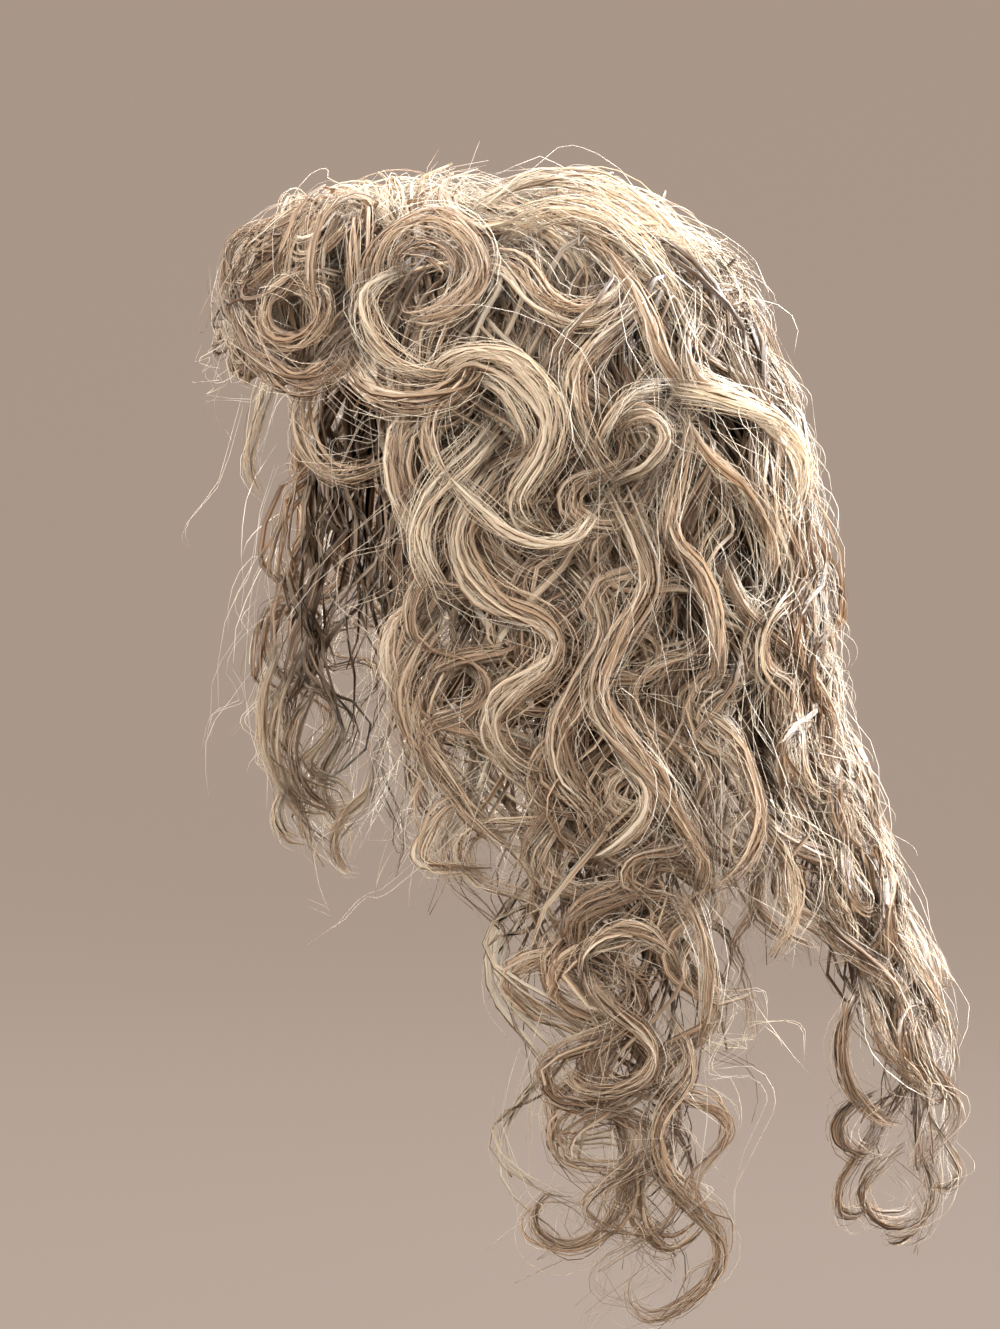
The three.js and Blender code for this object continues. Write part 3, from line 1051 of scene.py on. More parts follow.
@dataclass
class HairCurtain(HairPiece):
    """A curtain of long locks: hair underneath, painted dark as shade, the locks, and stray hairs over them.

    Swings and drifts are headings in radians, and the other angles are in degrees.
    """

    UNDER_SHIFT = (-8.5, 8.5)
    UNDER_RISE = (45, 130)
    UNDER_FALL = (20, 58)
    UNDER_LIFT = (-14, -1)
    UNDER_CURL = (2, 5)
    UNDER_PITCH = (80, 120)
    UNDER_PAINTED_SHADE_TONE = (0.1, 0.5)
    WISP_SHIFT = (-8, 8)
    WISP_DRIFT = (0.0, 12.0)
    WISP_FROM = 80
    WISP_TOP = 30 * MM
    WISP_DROP = (50, 90)
    WISP_LIFT = (8, 20)
    WISP_WAY = np.linspace(0.0, 1.0, 5)
    WISP_OUT = np.array([0.2, 0.8, 1.0, 0.85, 0.45])
    BOW_FROM = 25
    BOW_TOP = 40
    BOW_DRIFT = (0.0, 6.0)
    BOW_DROP = (10, 34)
    BOW_START = (1, 6)
    BOW_LIFT = (7, 15)
    EDGE_BOW_AROUND = (156.0, 196.0)
    EDGE_BOW_HEIGHT = (-200, 62)
    FRIZZ_POINTS = 6
    FRIZZ_SHIFT = (-7, 7)
    FRIZZ_DRIFT = (0.0, 4.5)
    FRIZZ_FROM = 60
    FRIZZ_TOP = 40 * MM
    FRIZZ_STEP = (-9.0, 7.0)
    FRIZZ_LIFT = (4, 14)
    LOCK_SHIFT = (-6.5, 6.5)
    LOCK_RISE = 42
    RISE_POWER = 1.6
    INNER_LIFT = -6.0
    OUTER_LIFT = 11.0
    LIFT_CHANGE = (-2.0, 2.0)
    HANG_SHARE = 0.9
    HANG_DRIFT = (0.0, 2.0)
    TONE_SPREAD = 0.2
    TONE_LIMITS = (0.1, 0.95)
    SWING_OUT = 4 * MM
    SWING_HALF = (2.2, 6.2)
    WOUND_HALF = (0.5, 0.75)
    WOUND_CURL = (0.5, 0.9)
    WOUND_BREADTH = (1.0, 1.5)
    WOUND_PITCH = (66, 98)
    WOUND_ONE_WAY = 0.6
    # Painted shade by depth: inner locks are painted darker than outer ones.
    INNER_DEPTH = 0.5
    OUTER_DEPTH = 0.4
    ROOT_BACK = 9.0
    PATH_ROOT = np.array([3.4, 6.5]) * MM
    PATH_EASE = (-0.2, 0.35)
    SWING_ROOT = np.array([3.4, 7.5]) * MM
    SWING_STEP = 6 * MM
    SWING_POINTS = 160
    LEAST_DROP = 40 * MM
    FIRST_SWING = 0.7
    SWING_GROWTH = 1.6
    DRIFT_PACE = 0.37
    LEAST_FALL = -0.12
    TIGHTER_TIPS = 0.42
    FIRST_LIFT = 0.3
    LIFT_GROWTH = 3
    SWING_ROCK = 3.5 * MM

    rows: tuple[LongLock, ...] = ()
    locks_per_row: int = 4
    hairs_per_lock: int = 14
    under_per_row: int = 15
    strays_per_lock: int = 3
    wisps_per_row: int = 12
    bows_per_row: int = 14
    frizz_per_row: int = 16
    edges: tuple[Edge, ...] = (Edge(0.0, 0.0, 360.0),)
    root_fall: Span = (46.0, 64.0)
    first_level: float = 30 * MM
    level_step: float = 52 * MM
    swing_radius: float = 108 * MM
    meandering_from: int = 2
    past_edge: float = 0.3
    # Painted shade on the hair underneath: how deep it counts for the finish.
    under_depth: float = 0.3
    loose: float = 1.0
    tone: float = 0.46
    # Painted shade: locks that hang below tail_from are toned darker.
    tail_painted_shade: float = 0.06
    tail_from: float = -250.0
    edge_bows: int = 0
    swings: Span = (0.9, 1.5)
    bends: Span = (78 * MM, 128 * MM)
    drifts: Span = (0.15, 0.5)

    def edge(self, column: str, height: float) -> float:
        """Where one edge of the curtain lies at a height in metres, in degrees round."""
        heights = [edge.height * MM for edge in self.edges]
        return float(np.interp(height, heights, [getattr(edge, column) for edge in self.edges]))

    def root_line(self, root: float, fall: float, lifts: Array) -> Array:
        """The first two points of a lock, where it lies on the head.

        Args:
            root: Degrees round at the root.
            fall: Degrees of fall at the second point.
            lifts: Distances off the head.

        Returns:
            The points.
        """
        return self.head.over(root, np.array([fall - self.ROOT_BACK, fall]), lifts)

    def path(self, root: float, hang: float, lowest: float, fall: float, lift: float) -> Array:
        """A lock's middle line, from its root down.

        Args:
            root: Degrees round at the root.
            hang: Degrees round at the tip.
            lowest: Height of the tip.
            fall: Degrees of fall at the root.
            lift: Distance off the surface that the hair hangs on.

        Returns:
            The line's points.
        """
        levels = np.arange(self.first_level, lowest + self.level_step / 2, -self.level_step)
        levels = np.append(levels, lowest)
        around = np.linspace(root, hang, len(levels))
        lifts = lift * ease(np.linspace(0.0, 1.0, len(levels)), *self.PATH_EASE)
        start = self.root_line(root, fall, self.PATH_ROOT)
        return np.vstack([start, self.head.hanging(around, levels, lifts)])

    def meander(self, root: float, hang: float, lowest: float, fall: float, lift: float) -> Array:
        """The course of a lock that swings from side to side in even bends on its way down.

        Args:
            root: Degrees round at the root.
            hang: Degrees round at the tip.
            lowest: Height of the tip.
            fall: Degrees of fall at the root.
            lift: Distance off the surface that the hair hangs on.

        Returns:
            The line's points.
        """
        rng = self.rng
        swing, bend = rng.uniform(*self.swings), rng.uniform(*self.bends)
        travelled, step = rng.uniform(0.0, FULL_TURN), self.SWING_STEP
        drift, drift_phase = rng.uniform(*self.drifts), rng.uniform(0.0, FULL_TURN)
        depth = max(self.first_level - lowest, self.LEAST_DROP)
        places, side, height = [], 0.0, self.first_level
        while height > lowest and len(places) < self.SWING_POINTS:
            share = (self.first_level - height) / depth
            heading = swing * min(1.0, self.FIRST_SWING + self.SWING_GROWTH * share) * math.sin(travelled)
            heading += drift * math.sin(self.DRIFT_PACE * travelled + drift_phase)
            side += math.sin(heading) * step
            height -= max(math.cos(heading), self.LEAST_FALL) * step
            travelled += FULL_TURN * step / (bend * (1.0 - self.TIGHTER_TIPS * share))
            around = root + (hang - root) * share + math.degrees(side / self.swing_radius)
            inside = min(max(around, self.edge("first", height)), self.edge("last", height))
            around = inside + self.past_edge * (around - inside)
            rise = self.FIRST_LIFT + (1.0 - self.FIRST_LIFT) * min(1.0, self.LIFT_GROWTH * share)
            places.append((around, height, lift * rise + self.SWING_ROCK * math.cos(travelled)))
        start = self.root_line(root, fall, self.SWING_ROOT)
        return np.vstack([start, self.head.hanging(*np.array(places).T)])

    def build(self) -> None:
        """Builds the curtain's pieces."""
        side = self.section.value.split("_")[0]
        for row in self.rows:
            self._grow_under(row)
            for number in range(self.locks_per_row):
                self._grow_lock(row, number)
            self._grow_wisps(row)
        for _ in range(self.edge_bows):
            around = self.rng.uniform(*self.EDGE_BOW_AROUND)
            self._grow_bow(around, self.rng.uniform(*self.EDGE_BOW_HEIGHT) * MM)
        self.dress(f"{side}_locks", side)

    def _grow_under(self, row: LongLock) -> None:
        """Grows the hair that closes the curtain behind one row's locks, painted dark as shade.

        Args:
            row: The row.
        """
        rng = self.rng
        for _ in range(self.under_per_row):
            shift = rng.uniform(*self.UNDER_SHIFT)
            lowest = (row.lowest + rng.uniform(*self.UNDER_RISE)) * MM
            fall, lift = rng.uniform(*self.UNDER_FALL), rng.uniform(*self.UNDER_LIFT) * MM
            self.grow(
                Lock(
                    self.path(row.root + shift, row.hang + shift, lowest, fall, lift),
                    half=2.5 * MM,
                    curl=rng.uniform(*self.UNDER_CURL) * MM,
                    pitch=rng.uniform(*self.UNDER_PITCH) * MM,
                    phase=rng.uniform(0.0, FULL_TURN),
                    hand=rng.choice(EITHER_WAY),
                    flats=1,
                    hairs=0,
                    flat_half=2.1 * MM,
                    flat_bend=0.7,
                    opening=0.1,
                    tone=rng.uniform(*self.UNDER_PAINTED_SHADE_TONE),
                    depth=self.under_depth,
                )
            )

    def _grow_wisps(self, row: LongLock) -> None:
        """Grows the short fine hairs that bow out of the curtain, and its frizz.

        Args:
            row: The row.
        """
        rng = self.rng
        for _ in range(self.wisps_per_row):
            around = row.hang + rng.uniform(*self.WISP_SHIFT)
            around = around + np.linspace(0.0, rng.normal(*self.WISP_DRIFT), len(self.WISP_WAY))
            top = rng.uniform((row.lowest + self.WISP_FROM) * MM, self.WISP_TOP)
            height = top - rng.uniform(*self.WISP_DROP) * MM * self.WISP_WAY
            lift = rng.uniform(*self.WISP_LIFT) * MM * self.WISP_OUT
            self.grow_wisp(self.head.hanging(around, height, lift))
        for _ in range(self.bows_per_row):
            around = row.hang + rng.uniform(*self.WISP_SHIFT)
            self._grow_bow(around, rng.uniform(row.lowest + self.BOW_FROM, self.BOW_TOP) * MM)
        points = self.FRIZZ_POINTS
        for _ in range(self.frizz_per_row):
            around = row.hang + rng.uniform(*self.FRIZZ_SHIFT)
            around = around + np.cumsum(rng.normal(*self.FRIZZ_DRIFT, points))
            top = rng.uniform((row.lowest + self.FRIZZ_FROM) * MM, self.FRIZZ_TOP)
            height = top + np.cumsum(rng.normal(*self.FRIZZ_STEP, points)) * MM
            height = np.maximum(height, row.lowest * MM)
            line = self.head.hanging(around, height, rng.uniform(*self.FRIZZ_LIFT, points) * MM)
            self.grow_wisp(line, self.FRIZZ_HAIRS, self.FRIZZ_HALF)

    def _grow_bow(self, around: float, height: float) -> None:
        """Grows one short hair that bows outwards and falls back.

        Args:
            around: Degrees round where it leaves the curtain.
            height: Height where it leaves the curtain.
        """
        rng = self.rng
        bow = around + rng.normal(*self.BOW_DRIFT) * self.BOW
        heights = height - rng.uniform(*self.BOW_DROP) * MM * self.BOW_DOWN
        lift = rng.uniform(*self.BOW_START) * MM + rng.uniform(*self.BOW_LIFT) * MM * self.BOW_OUT
        self.grow_wisp(self.head.hanging(bow, heights, lift))

    def _grow_lock(self, row: LongLock, number: int) -> None:
        """Grows one of a row's locks, and the stray hairs about it.

        Args:
            row: The row.
            number: Which of the row's locks it is, from the inside out.
        """
        rng = self.rng
        layer = number / max(1, self.locks_per_row - 1)
        shift = rng.uniform(*self.LOCK_SHIFT)
        rise = rng.uniform(0.0, 1.0) ** self.RISE_POWER * self.LOCK_RISE * MM if number else 0.0
        lift = (self.INNER_LIFT + self.OUTER_LIFT * layer + rng.uniform(*self.LIFT_CHANGE)) * MM
        root = row.root + shift
        hang = row.hang + shift * self.HANG_SHARE + rng.normal(*self.HANG_DRIFT)
        fall, lowest = rng.uniform(*self.root_fall), row.lowest * MM + rise
        # Painted shade on the lowest locks.
        mean = self.tone - (self.tail_painted_shade if row.lowest < self.tail_from else 0.0)
        tone = self.pick_tone((mean, self.TONE_SPREAD), self.TONE_LIMITS)
        if number < self.meandering_from:
            wound = Lock(
                self.path(root, hang, lowest, fall, lift),
                half=row.half * MM * rng.uniform(*self.WOUND_HALF),
                curl=row.curl * MM * rng.uniform(*self.WOUND_CURL),
                breadth=rng.uniform(*self.WOUND_BREADTH),
                pitch=rng.uniform(*self.WOUND_PITCH) * MM,
                phase=rng.uniform(0.0, FULL_TURN),
                hand=1.0 if rng.uniform() < self.WOUND_ONE_WAY else -1.0,
                flats=6,
                hairs=3,
                flat_half=1.3 * MM,
                flat_bend=0.6,
                opening=0.12,
                tone=tone,
                depth=self.INNER_DEPTH + self.OUTER_DEPTH * layer,
            )
            self.grow(wound)
            return
        lock = Lock(
            self.meander(root, hang, lowest, fall, lift + self.SWING_OUT),
            half=rng.uniform(*self.SWING_HALF) * MM,
            flats=5,
            hairs=self.hairs_per_lock,
            flat_half=1.1 * MM,
            tone=tone,
            loose=self.loose,
            root_fan=1.2,
            twist=6.0,
        )
        self.grow(lock)
        self.grow_strays(lock, self.strays_per_lock)


@dataclass
class CrownHair(HairPiece):
    """The whorl on top: hair combed round the crown, painted dark as shade, and puffed locks over it."""

    WAY = np.linspace(0.0, 1.0, 5)
    FRONT_EDGE = (40.0, 70.0)
    UNDER_STEP = 137.5
    UNDER_SWEEP = (40, 90)
    UNDER_START = (2.0, 30.0)
    UNDER_PAST_EDGE = 8.0
    UNDER_LIFT = (4.0, 8.0)
    UNDER_PAINTED_SHADE_TONE = (0.2, 0.6)
    ANYWHERE = (0.0, 360.0)
    WISP_SWEEP = (25, 70)
    WISP_START = (4, 30)
    WISP_FALL = (18, 45)
    WISP_LIFT = (13, 23)
    WISP_OUT = np.array([0.6, 0.9, 1.0, 0.9, 0.6])
    BOW_AROUND = (135.0, 225.0)
    BOW_DRIFT = (0.0, 9.0)
    BOW_START = (3, 62)
    BOW_FALL = (8, 22)
    BOW_REST = (4, 10)
    BOW_LIFT = (7, 13)
    FRIZZ_DRIFT = (0.0, 8.0)
    FRIZZ_START = (8, 50)
    FRIZZ_FALL = (3.0, 4.0)
    FRIZZ_LEAST = 2.0
    FRIZZ_LIFT = (10, 19)
    LOCK_SHIFT = (-8, 8)
    LOCK_SWEEP = (0.7, 1.2)
    LOCK_START = (4.0, 16.0)
    FRONT_END = (-8, 6)
    BACK_END = (-10, 26)
    LOCK_PUFF = (0.6, 1.05)
    PUFF_EASE = (-0.3, 0.5)
    LOCK_REST = 3.0 * MM
    LOCK_HALF = 9 * MM
    HALF_CHANGE = (0.7, 1.1)
    LOCK_CURL = (2.0, 7.0)
    LOCK_PITCH = (56, 90)
    LOCK_TONE = (0.58, 0.16)
    TONE_LIMITS = (0.2, 0.95)

    under_strands: int = 190
    locks: int = 22
    strays_per_lock: int = 2
    wisps: int = 80
    bows: int = 90
    frizz: int = 80
    sweep: float = 80.0
    edge_front: float = 40.0
    edge_back: float = 60.0
    lift: float = 11 * MM
    back_lift: float = 0.34

    def edge(self, around: float) -> float:
        """How far the whorl falls at a place round the head, in degrees."""
        share = float(ease(np.array(abs((around + 180.0) % 360.0 - 180.0)), *self.FRONT_EDGE))
        return self.edge_front + (self.edge_back - self.edge_front) * share

    def build(self) -> None:
        """Builds the whorl."""
        rng, way = self.rng, self.WAY
        for number in range(self.under_strands):
            around = number * self.UNDER_STEP % 360.0 + way * rng.uniform(*self.UNDER_SWEEP)
            start = rng.uniform(*self.UNDER_START)
            fall = start + (self.edge(around[-1]) + self.UNDER_PAST_EDGE - start) * way
            line = self.head.over(around, fall, rng.uniform(*self.UNDER_LIFT) * MM)
            # The combed hair under the whorl is toned dark and painted shade by its depth.
            under = Lock(line, half=2.5 * MM, flats=1, hairs=0, flat_half=2.0 * MM, depth=0.4)
            under.tone = rng.uniform(*self.UNDER_PAINTED_SHADE_TONE)
            self.grow(under)
        for number in range(self.locks):
            self._grow_lock(number)
        for _ in range(self.wisps):
            around = rng.uniform(*self.ANYWHERE) + way * rng.uniform(*self.WISP_SWEEP)
            fall = rng.uniform(*self.WISP_START) + way * rng.uniform(*self.WISP_FALL)
            self.grow_wisp(self.head.over(around, fall, rng.uniform(*self.WISP_LIFT) * MM * self.WISP_OUT))
        for _ in range(self.bows):
            around = rng.uniform(*self.BOW_AROUND) + rng.normal(*self.BOW_DRIFT) * self.BOW
            fall = rng.uniform(*self.BOW_START) + rng.uniform(*self.BOW_FALL) * self.BOW_DOWN
            lift = rng.uniform(*self.BOW_REST) * MM + rng.uniform(*self.BOW_LIFT) * MM * self.BOW_OUT
            self.grow_wisp(self.head.over(around, fall, lift))
        for _ in range(self.frizz):
            around = rng.uniform(*self.ANYWHERE) + np.cumsum(rng.normal(*self.FRIZZ_DRIFT, len(way)))
            fall = rng.uniform(*self.FRIZZ_START) + np.cumsum(rng.normal(*self.FRIZZ_FALL, len(way)))
            fall = np.abs(fall) + self.FRIZZ_LEAST
            line = self.head.over(around, fall, rng.uniform(*self.FRIZZ_LIFT, len(way)) * MM)
            self.grow_wisp(line, self.FRIZZ_HAIRS, self.FRIZZ_HALF)
        self.dress("crown_whorl", "crown")

    def _grow_lock(self, number: int) -> None:
        """Grows one puffed lock of the whorl.

        Args:
            number: Which lock it is.
        """
        rng, way = self.rng, self.WAY
        around = number * 360.0 / self.locks + rng.uniform(*self.LOCK_SHIFT)
        around = around + way * self.sweep * rng.uniform(*self.LOCK_SWEEP)
        start = rng.uniform(*self.LOCK_START)
        end = self.edge(around[-1])
        end += rng.uniform(*(self.FRONT_END if end < self.edge_back - 1.0 else self.BACK_END))
        fall = start + (end - start) * way
        lifts = self.lift * rng.uniform(*self.LOCK_PUFF) * ease(way, *self.PUFF_EASE)
        front = (1.0 + np.cos(np.radians(around))) / 2
        puff = self.back_lift + (1.0 - self.back_lift) * front
        lock = Lock(
            self.head.over(around, fall, lifts * puff + self.LOCK_REST),
            half=self.LOCK_HALF * rng.uniform(*self.HALF_CHANGE),
            curl=rng.uniform(*self.LOCK_CURL) * MM * puff[-2],
            pitch=rng.uniform(*self.LOCK_PITCH) * MM,
            phase=rng.uniform(0.0, FULL_TURN),
            hand=rng.choice(EITHER_WAY),
            flats=7,
            hairs=20,
            flat_half=1.0 * MM,
            flat_bend=0.4,
            hair_bend=0.4,
            tone=self.pick_tone(self.LOCK_TONE, self.TONE_LIMITS),
        )
        self.grow(lock)
        self.grow_strays(lock, self.strays_per_lock, loose=1.3)


@dataclass
class FringeCurls(HairPiece):
    """The roll over the forehead: tousled barrel curls that turn over forwards and back under.

    The turn of the open rings on it is in radians, and the other angles are in degrees.
    """

    PLACE_CHANGE = (-3, 3)
    RING_INSET = 4.0
    HAIRLINE_FALL = np.array([38.0, 56.0, 72.0, 82.0, 85.0, 78.0, 66.0])
    HAIRLINE_LIFT = np.array([3.5, 5.0, 5.5, 6.5, 10.0, 13.0, 11.0]) * MM
    HAIRLINE_WAY = np.linspace(0.0, 1.0, 7) ** 2
    HAIRLINE_SWEEP = (0.0, 17.0)
    LIFT_CHANGE = (0.85, 1.1)
    FALL_CHANGE = (0.9, 1.0)
    HAIRLINE_TONE = (0.3, 0.65)
    FRIZZ_POINTS = 6
    FRIZZ_DRIFT = (0.0, 5.0)
    FRIZZ_FALL = (44.0, 78.0)
    FRIZZ_LIFT = (14, 27)
    RING_WAY = np.linspace(0.0, 1.0, 14)
    RING_NARROWING = np.linspace(1.25, 0.6, 14)
    RING_TURN = (5.0, 8.5)
    RING_SIZE = (8.0, 14.0)
    RING_FALL = (46.0, 74.0)
    RING_TALL = 0.68
    RING_WIDE = 0.76
    RING_LIFT = (22.0, 28.0)
    RING_EASE = (-0.6, 0.3)
    RING_HALF = (2.2, 4.2)
    RING_TONE = (0.55, 0.2)
    RING_TONES = (0.2, 0.95)
    ROLL_WAY = np.linspace(0.0, 1.0, 15)
    ROLL_FALL = (-6.0, 5.0)
    ROLL_TURN = (0.55, 1.0)
    ROLL_SIZE = (0.72, 1.04)
    ROLL_NARROWING = 0.66
    NARROW_FROM = 0.3
    ROLL_SLIDE = (0.0, 13.0)
    ROLL_HALF = (4.0, 7.0)
    ROLL_TONE = (0.52, 0.17)
    ROLL_TONES = (0.15, 0.92)

    rolls: int = 24
    strays_per_roll: int = 4
    first: float = -47.0
    last: float = 50.0
    hairline_strands: int = 90
    fall: float = 60.0
    stand_off: float = 5.4 * MM
    depth: float = 19 * MM
    height: float = 29 * MM
    start: float = 155.0
    turn: float = 430.0
    lean: float = 50.0
    rings: int = 17

    def build(self) -> None:
        """Builds the roll."""
        rng, width = self.rng, self.last - self.first
        for number in range(self.rolls):
            around = self.first + width * number / (self.rolls - 1)
            self._grow_roll(around + rng.uniform(*self.PLACE_CHANGE))
        for number in range(self.rings):
            around = self.first + self.RING_INSET + (width - 2 * self.RING_INSET) * number / (self.rings - 1)
            self._grow_ring(around + rng.uniform(*self.PLACE_CHANGE))
        for number in range(self.hairline_strands):
            self._grow_hairline(self.first + width * (number + 0.5) / self.hairline_strands)
        self.dress("fringe_roll", "fringe")

    def _grow_hairline(self, around: float) -> None:
        """Grows hair that covers the cap's front edge and turns up into the roll.

        Args:
            around: Degrees round from the face.
        """
        rng, points = self.rng, self.FRIZZ_POINTS
        lift = self.HAIRLINE_LIFT * rng.uniform(*self.LIFT_CHANGE)
        fall = self.HAIRLINE_FALL * rng.uniform(*self.FALL_CHANGE)
        swept = self.HAIRLINE_WAY * rng.normal(*self.HAIRLINE_SWEEP)
        line = self.head.over(around + swept, fall, lift)
        # Hair at the hairline is painted a little shade by its depth.
        lock = Lock(line, half=2.2 * MM, flats=1, hairs=2, flat_half=1.2 * MM, flat_bend=0.42, depth=0.8)
        lock.tone = rng.uniform(*self.HAIRLINE_TONE)
        self.grow(lock)
        frizz = around + np.cumsum(rng.normal(*self.FRIZZ_DRIFT, points))
        fall = rng.uniform(*self.FRIZZ_FALL) + np.cumsum(rng.normal(*self.FRIZZ_DRIFT, points))
        self.grow_wisp(self.head.over(frizz, fall, rng.uniform(*self.FRIZZ_LIFT, points) * MM))

    def _grow_ring(self, around: float) -> None:
        """Grows one open ring that faces forwards on the roll.

        Args:
            around: Degrees round from the face.
        """
        rng = self.rng
        turn = rng.uniform(0.0, FULL_TURN)
        hand = rng.choice(EITHER_WAY)
        turn = turn + hand * np.linspace(0.0, rng.uniform(*self.RING_TURN), len(self.RING_WAY))
        size = rng.uniform(*self.RING_SIZE) * self.RING_NARROWING
        fall = rng.uniform(*self.RING_FALL) + np.sin(turn) * size * self.RING_TALL
        lift = rng.uniform(*self.RING_LIFT) * MM * ease(self.RING_WAY, *self.RING_EASE)
        lock = Lock(
            self.head.over(around + np.cos(turn) * size * self.RING_WIDE, fall, lift),
            half=rng.uniform(*self.RING_HALF) * MM,
            flats=4,
            hairs=13,
            flat_half=0.95 * MM,
            root_width=0.2,
            tone=self.pick_tone(self.RING_TONE, self.RING_TONES),
            root_fan=0.4,
            twist=4.0,
        )
        self.grow(lock)

    def _grow_roll(self, around: float) -> None:
        """Grows one barrel curl, leaning to one side.

        Args:
            around: Degrees round from the face.
        """
        rng, way = self.rng, self.ROLL_WAY
        fall = self.fall + rng.uniform(*self.ROLL_FALL)
        centre = self.head.over(np.array(around), np.array(fall), np.array(self.stand_off))
        lean = math.radians(rng.normal(0.0, self.lean))
        up = np.array([0.0, 0.0, 1.0])
        ahead = unit(centre * (1.0 - up))
        across = np.cross(ahead, up)
        forward = ahead * math.cos(lean) + across * math.sin(lean)
        sideways = across * math.cos(lean) - ahead * math.sin(lean)
        angle = np.radians(self.start - self.turn * rng.uniform(*self.ROLL_TURN) * way)
        size = rng.uniform(*self.ROLL_SIZE) * (1.0 - self.ROLL_NARROWING * ease(way, self.NARROW_FROM, 1.0))
        slide = rng.normal(*self.ROLL_SLIDE) * MM * way
        line = (
            centre
            + forward * (self.depth * size * np.cos(angle))[:, None]
            + up * (self.height * size * np.sin(angle))[:, None]
            + sideways * slide[:, None]
        )
        lock = Lock(
            line,
            half=rng.uniform(*self.ROLL_HALF) * MM,
            flats=5,
            hairs=12,
            flat_half=1.1 * MM,
            tone=self.pick_tone(self.ROLL_TONE, self.ROLL_TONES),
            ragged=0.3,
            root_fan=0.5,
            twist=5.0,
        )
        self.grow(lock)
        self.grow_strays(lock, self.strays_per_roll, loose=1.8, spread=1.3)


@dataclass
class TempleCurl(HairPiece):
    """The loop that swings over the left temple, and the hair combed back under it."""

    COMBED_SWEEP = np.array([0.0, 3.0, 8.0, 15.0, 24.0])
    COMBED_FALL = np.array([36.0, 52.0, 66.0, 78.0, 87.0])
    COMBED_LIFT = np.array([3.6, 5.0, 6.0, 6.5, 6.0]) * MM
    SWEEP_CHANGE = (0.25, 1.0)
    COMBED_FROM = (40.0, 68.0)
    FALL_CHANGE = (-5.0, 3.0)
    COMBED_TONE = (0.3, 0.65)

    combed_strands: int = 64
    loop_strays: int = 8
    loop: tuple[LoopPoint, ...] = (
        LoopPoint(58, 66, 5),
        LoopPoint(51, 80, 12),
        LoopPoint(46, 93, 14),
        LoopPoint(47, 105, 14),
        LoopPoint(53, 113, 14),
        LoopPoint(61, 113, 13),
        LoopPoint(69, 108, 12),
        LoopPoint(75, 101, 7),
    )

    def build(self) -> None:
        """Builds the loop and the combed hair."""
        rng = self.rng
        around, fall, lift = np.array(self.loop, dtype=float).T
        lock = Lock(
            self.head.over(around, fall, lift * MM),
            half=4 * MM,
            flats=6,
            hairs=26,
            flat_half=0.9 * MM,
            flat_bend=0.36,
            hair_bend=0.34,
            tone=0.6,
            twist=4.0,
        )
        self.grow(lock)
        self.grow_strays(lock, self.loop_strays)
        for _ in range(self.combed_strands):
            swept = self.COMBED_SWEEP * rng.uniform(*self.SWEEP_CHANGE)
            around = rng.uniform(*self.COMBED_FROM) + swept
            line = self.head.over(around, self.COMBED_FALL + rng.uniform(*self.FALL_CHANGE), self.COMBED_LIFT)
            # The combed hair under the loop is painted shade by its depth.
            combed = Lock(line, half=2.4 * MM, flats=1, hairs=1, flat_half=1.6 * MM, depth=0.7)
            combed.tone = rng.uniform(*self.COMBED_TONE)
            self.grow(combed)
        self.dress("temple_loop", "temple")


@dataclass(frozen=True)
class StandOut:
    """One curl that stands out: its half width in mm, its tone, its strands, and its course. The tone holds
    the hair's own colour and, in part, painted highlight and painted shade.
    """

    half: float
    tone: float
    strands: int
    course: tuple[Seen, ...]

    @classmethod
    def along(cls, half: float, tone: float, strands: int, *course: tuple[float, float, float]) -> "StandOut":
        """A curl along places in the frame.

        Args:
            half: Half its width in mm.
            tone: Its tone.
            strands: How many strands it has.
            course: Its places, each as across, down and lift.

        Returns:
            The curl.
        """
        return cls(half, tone, strands, tuple(Seen(*place) for place in course))
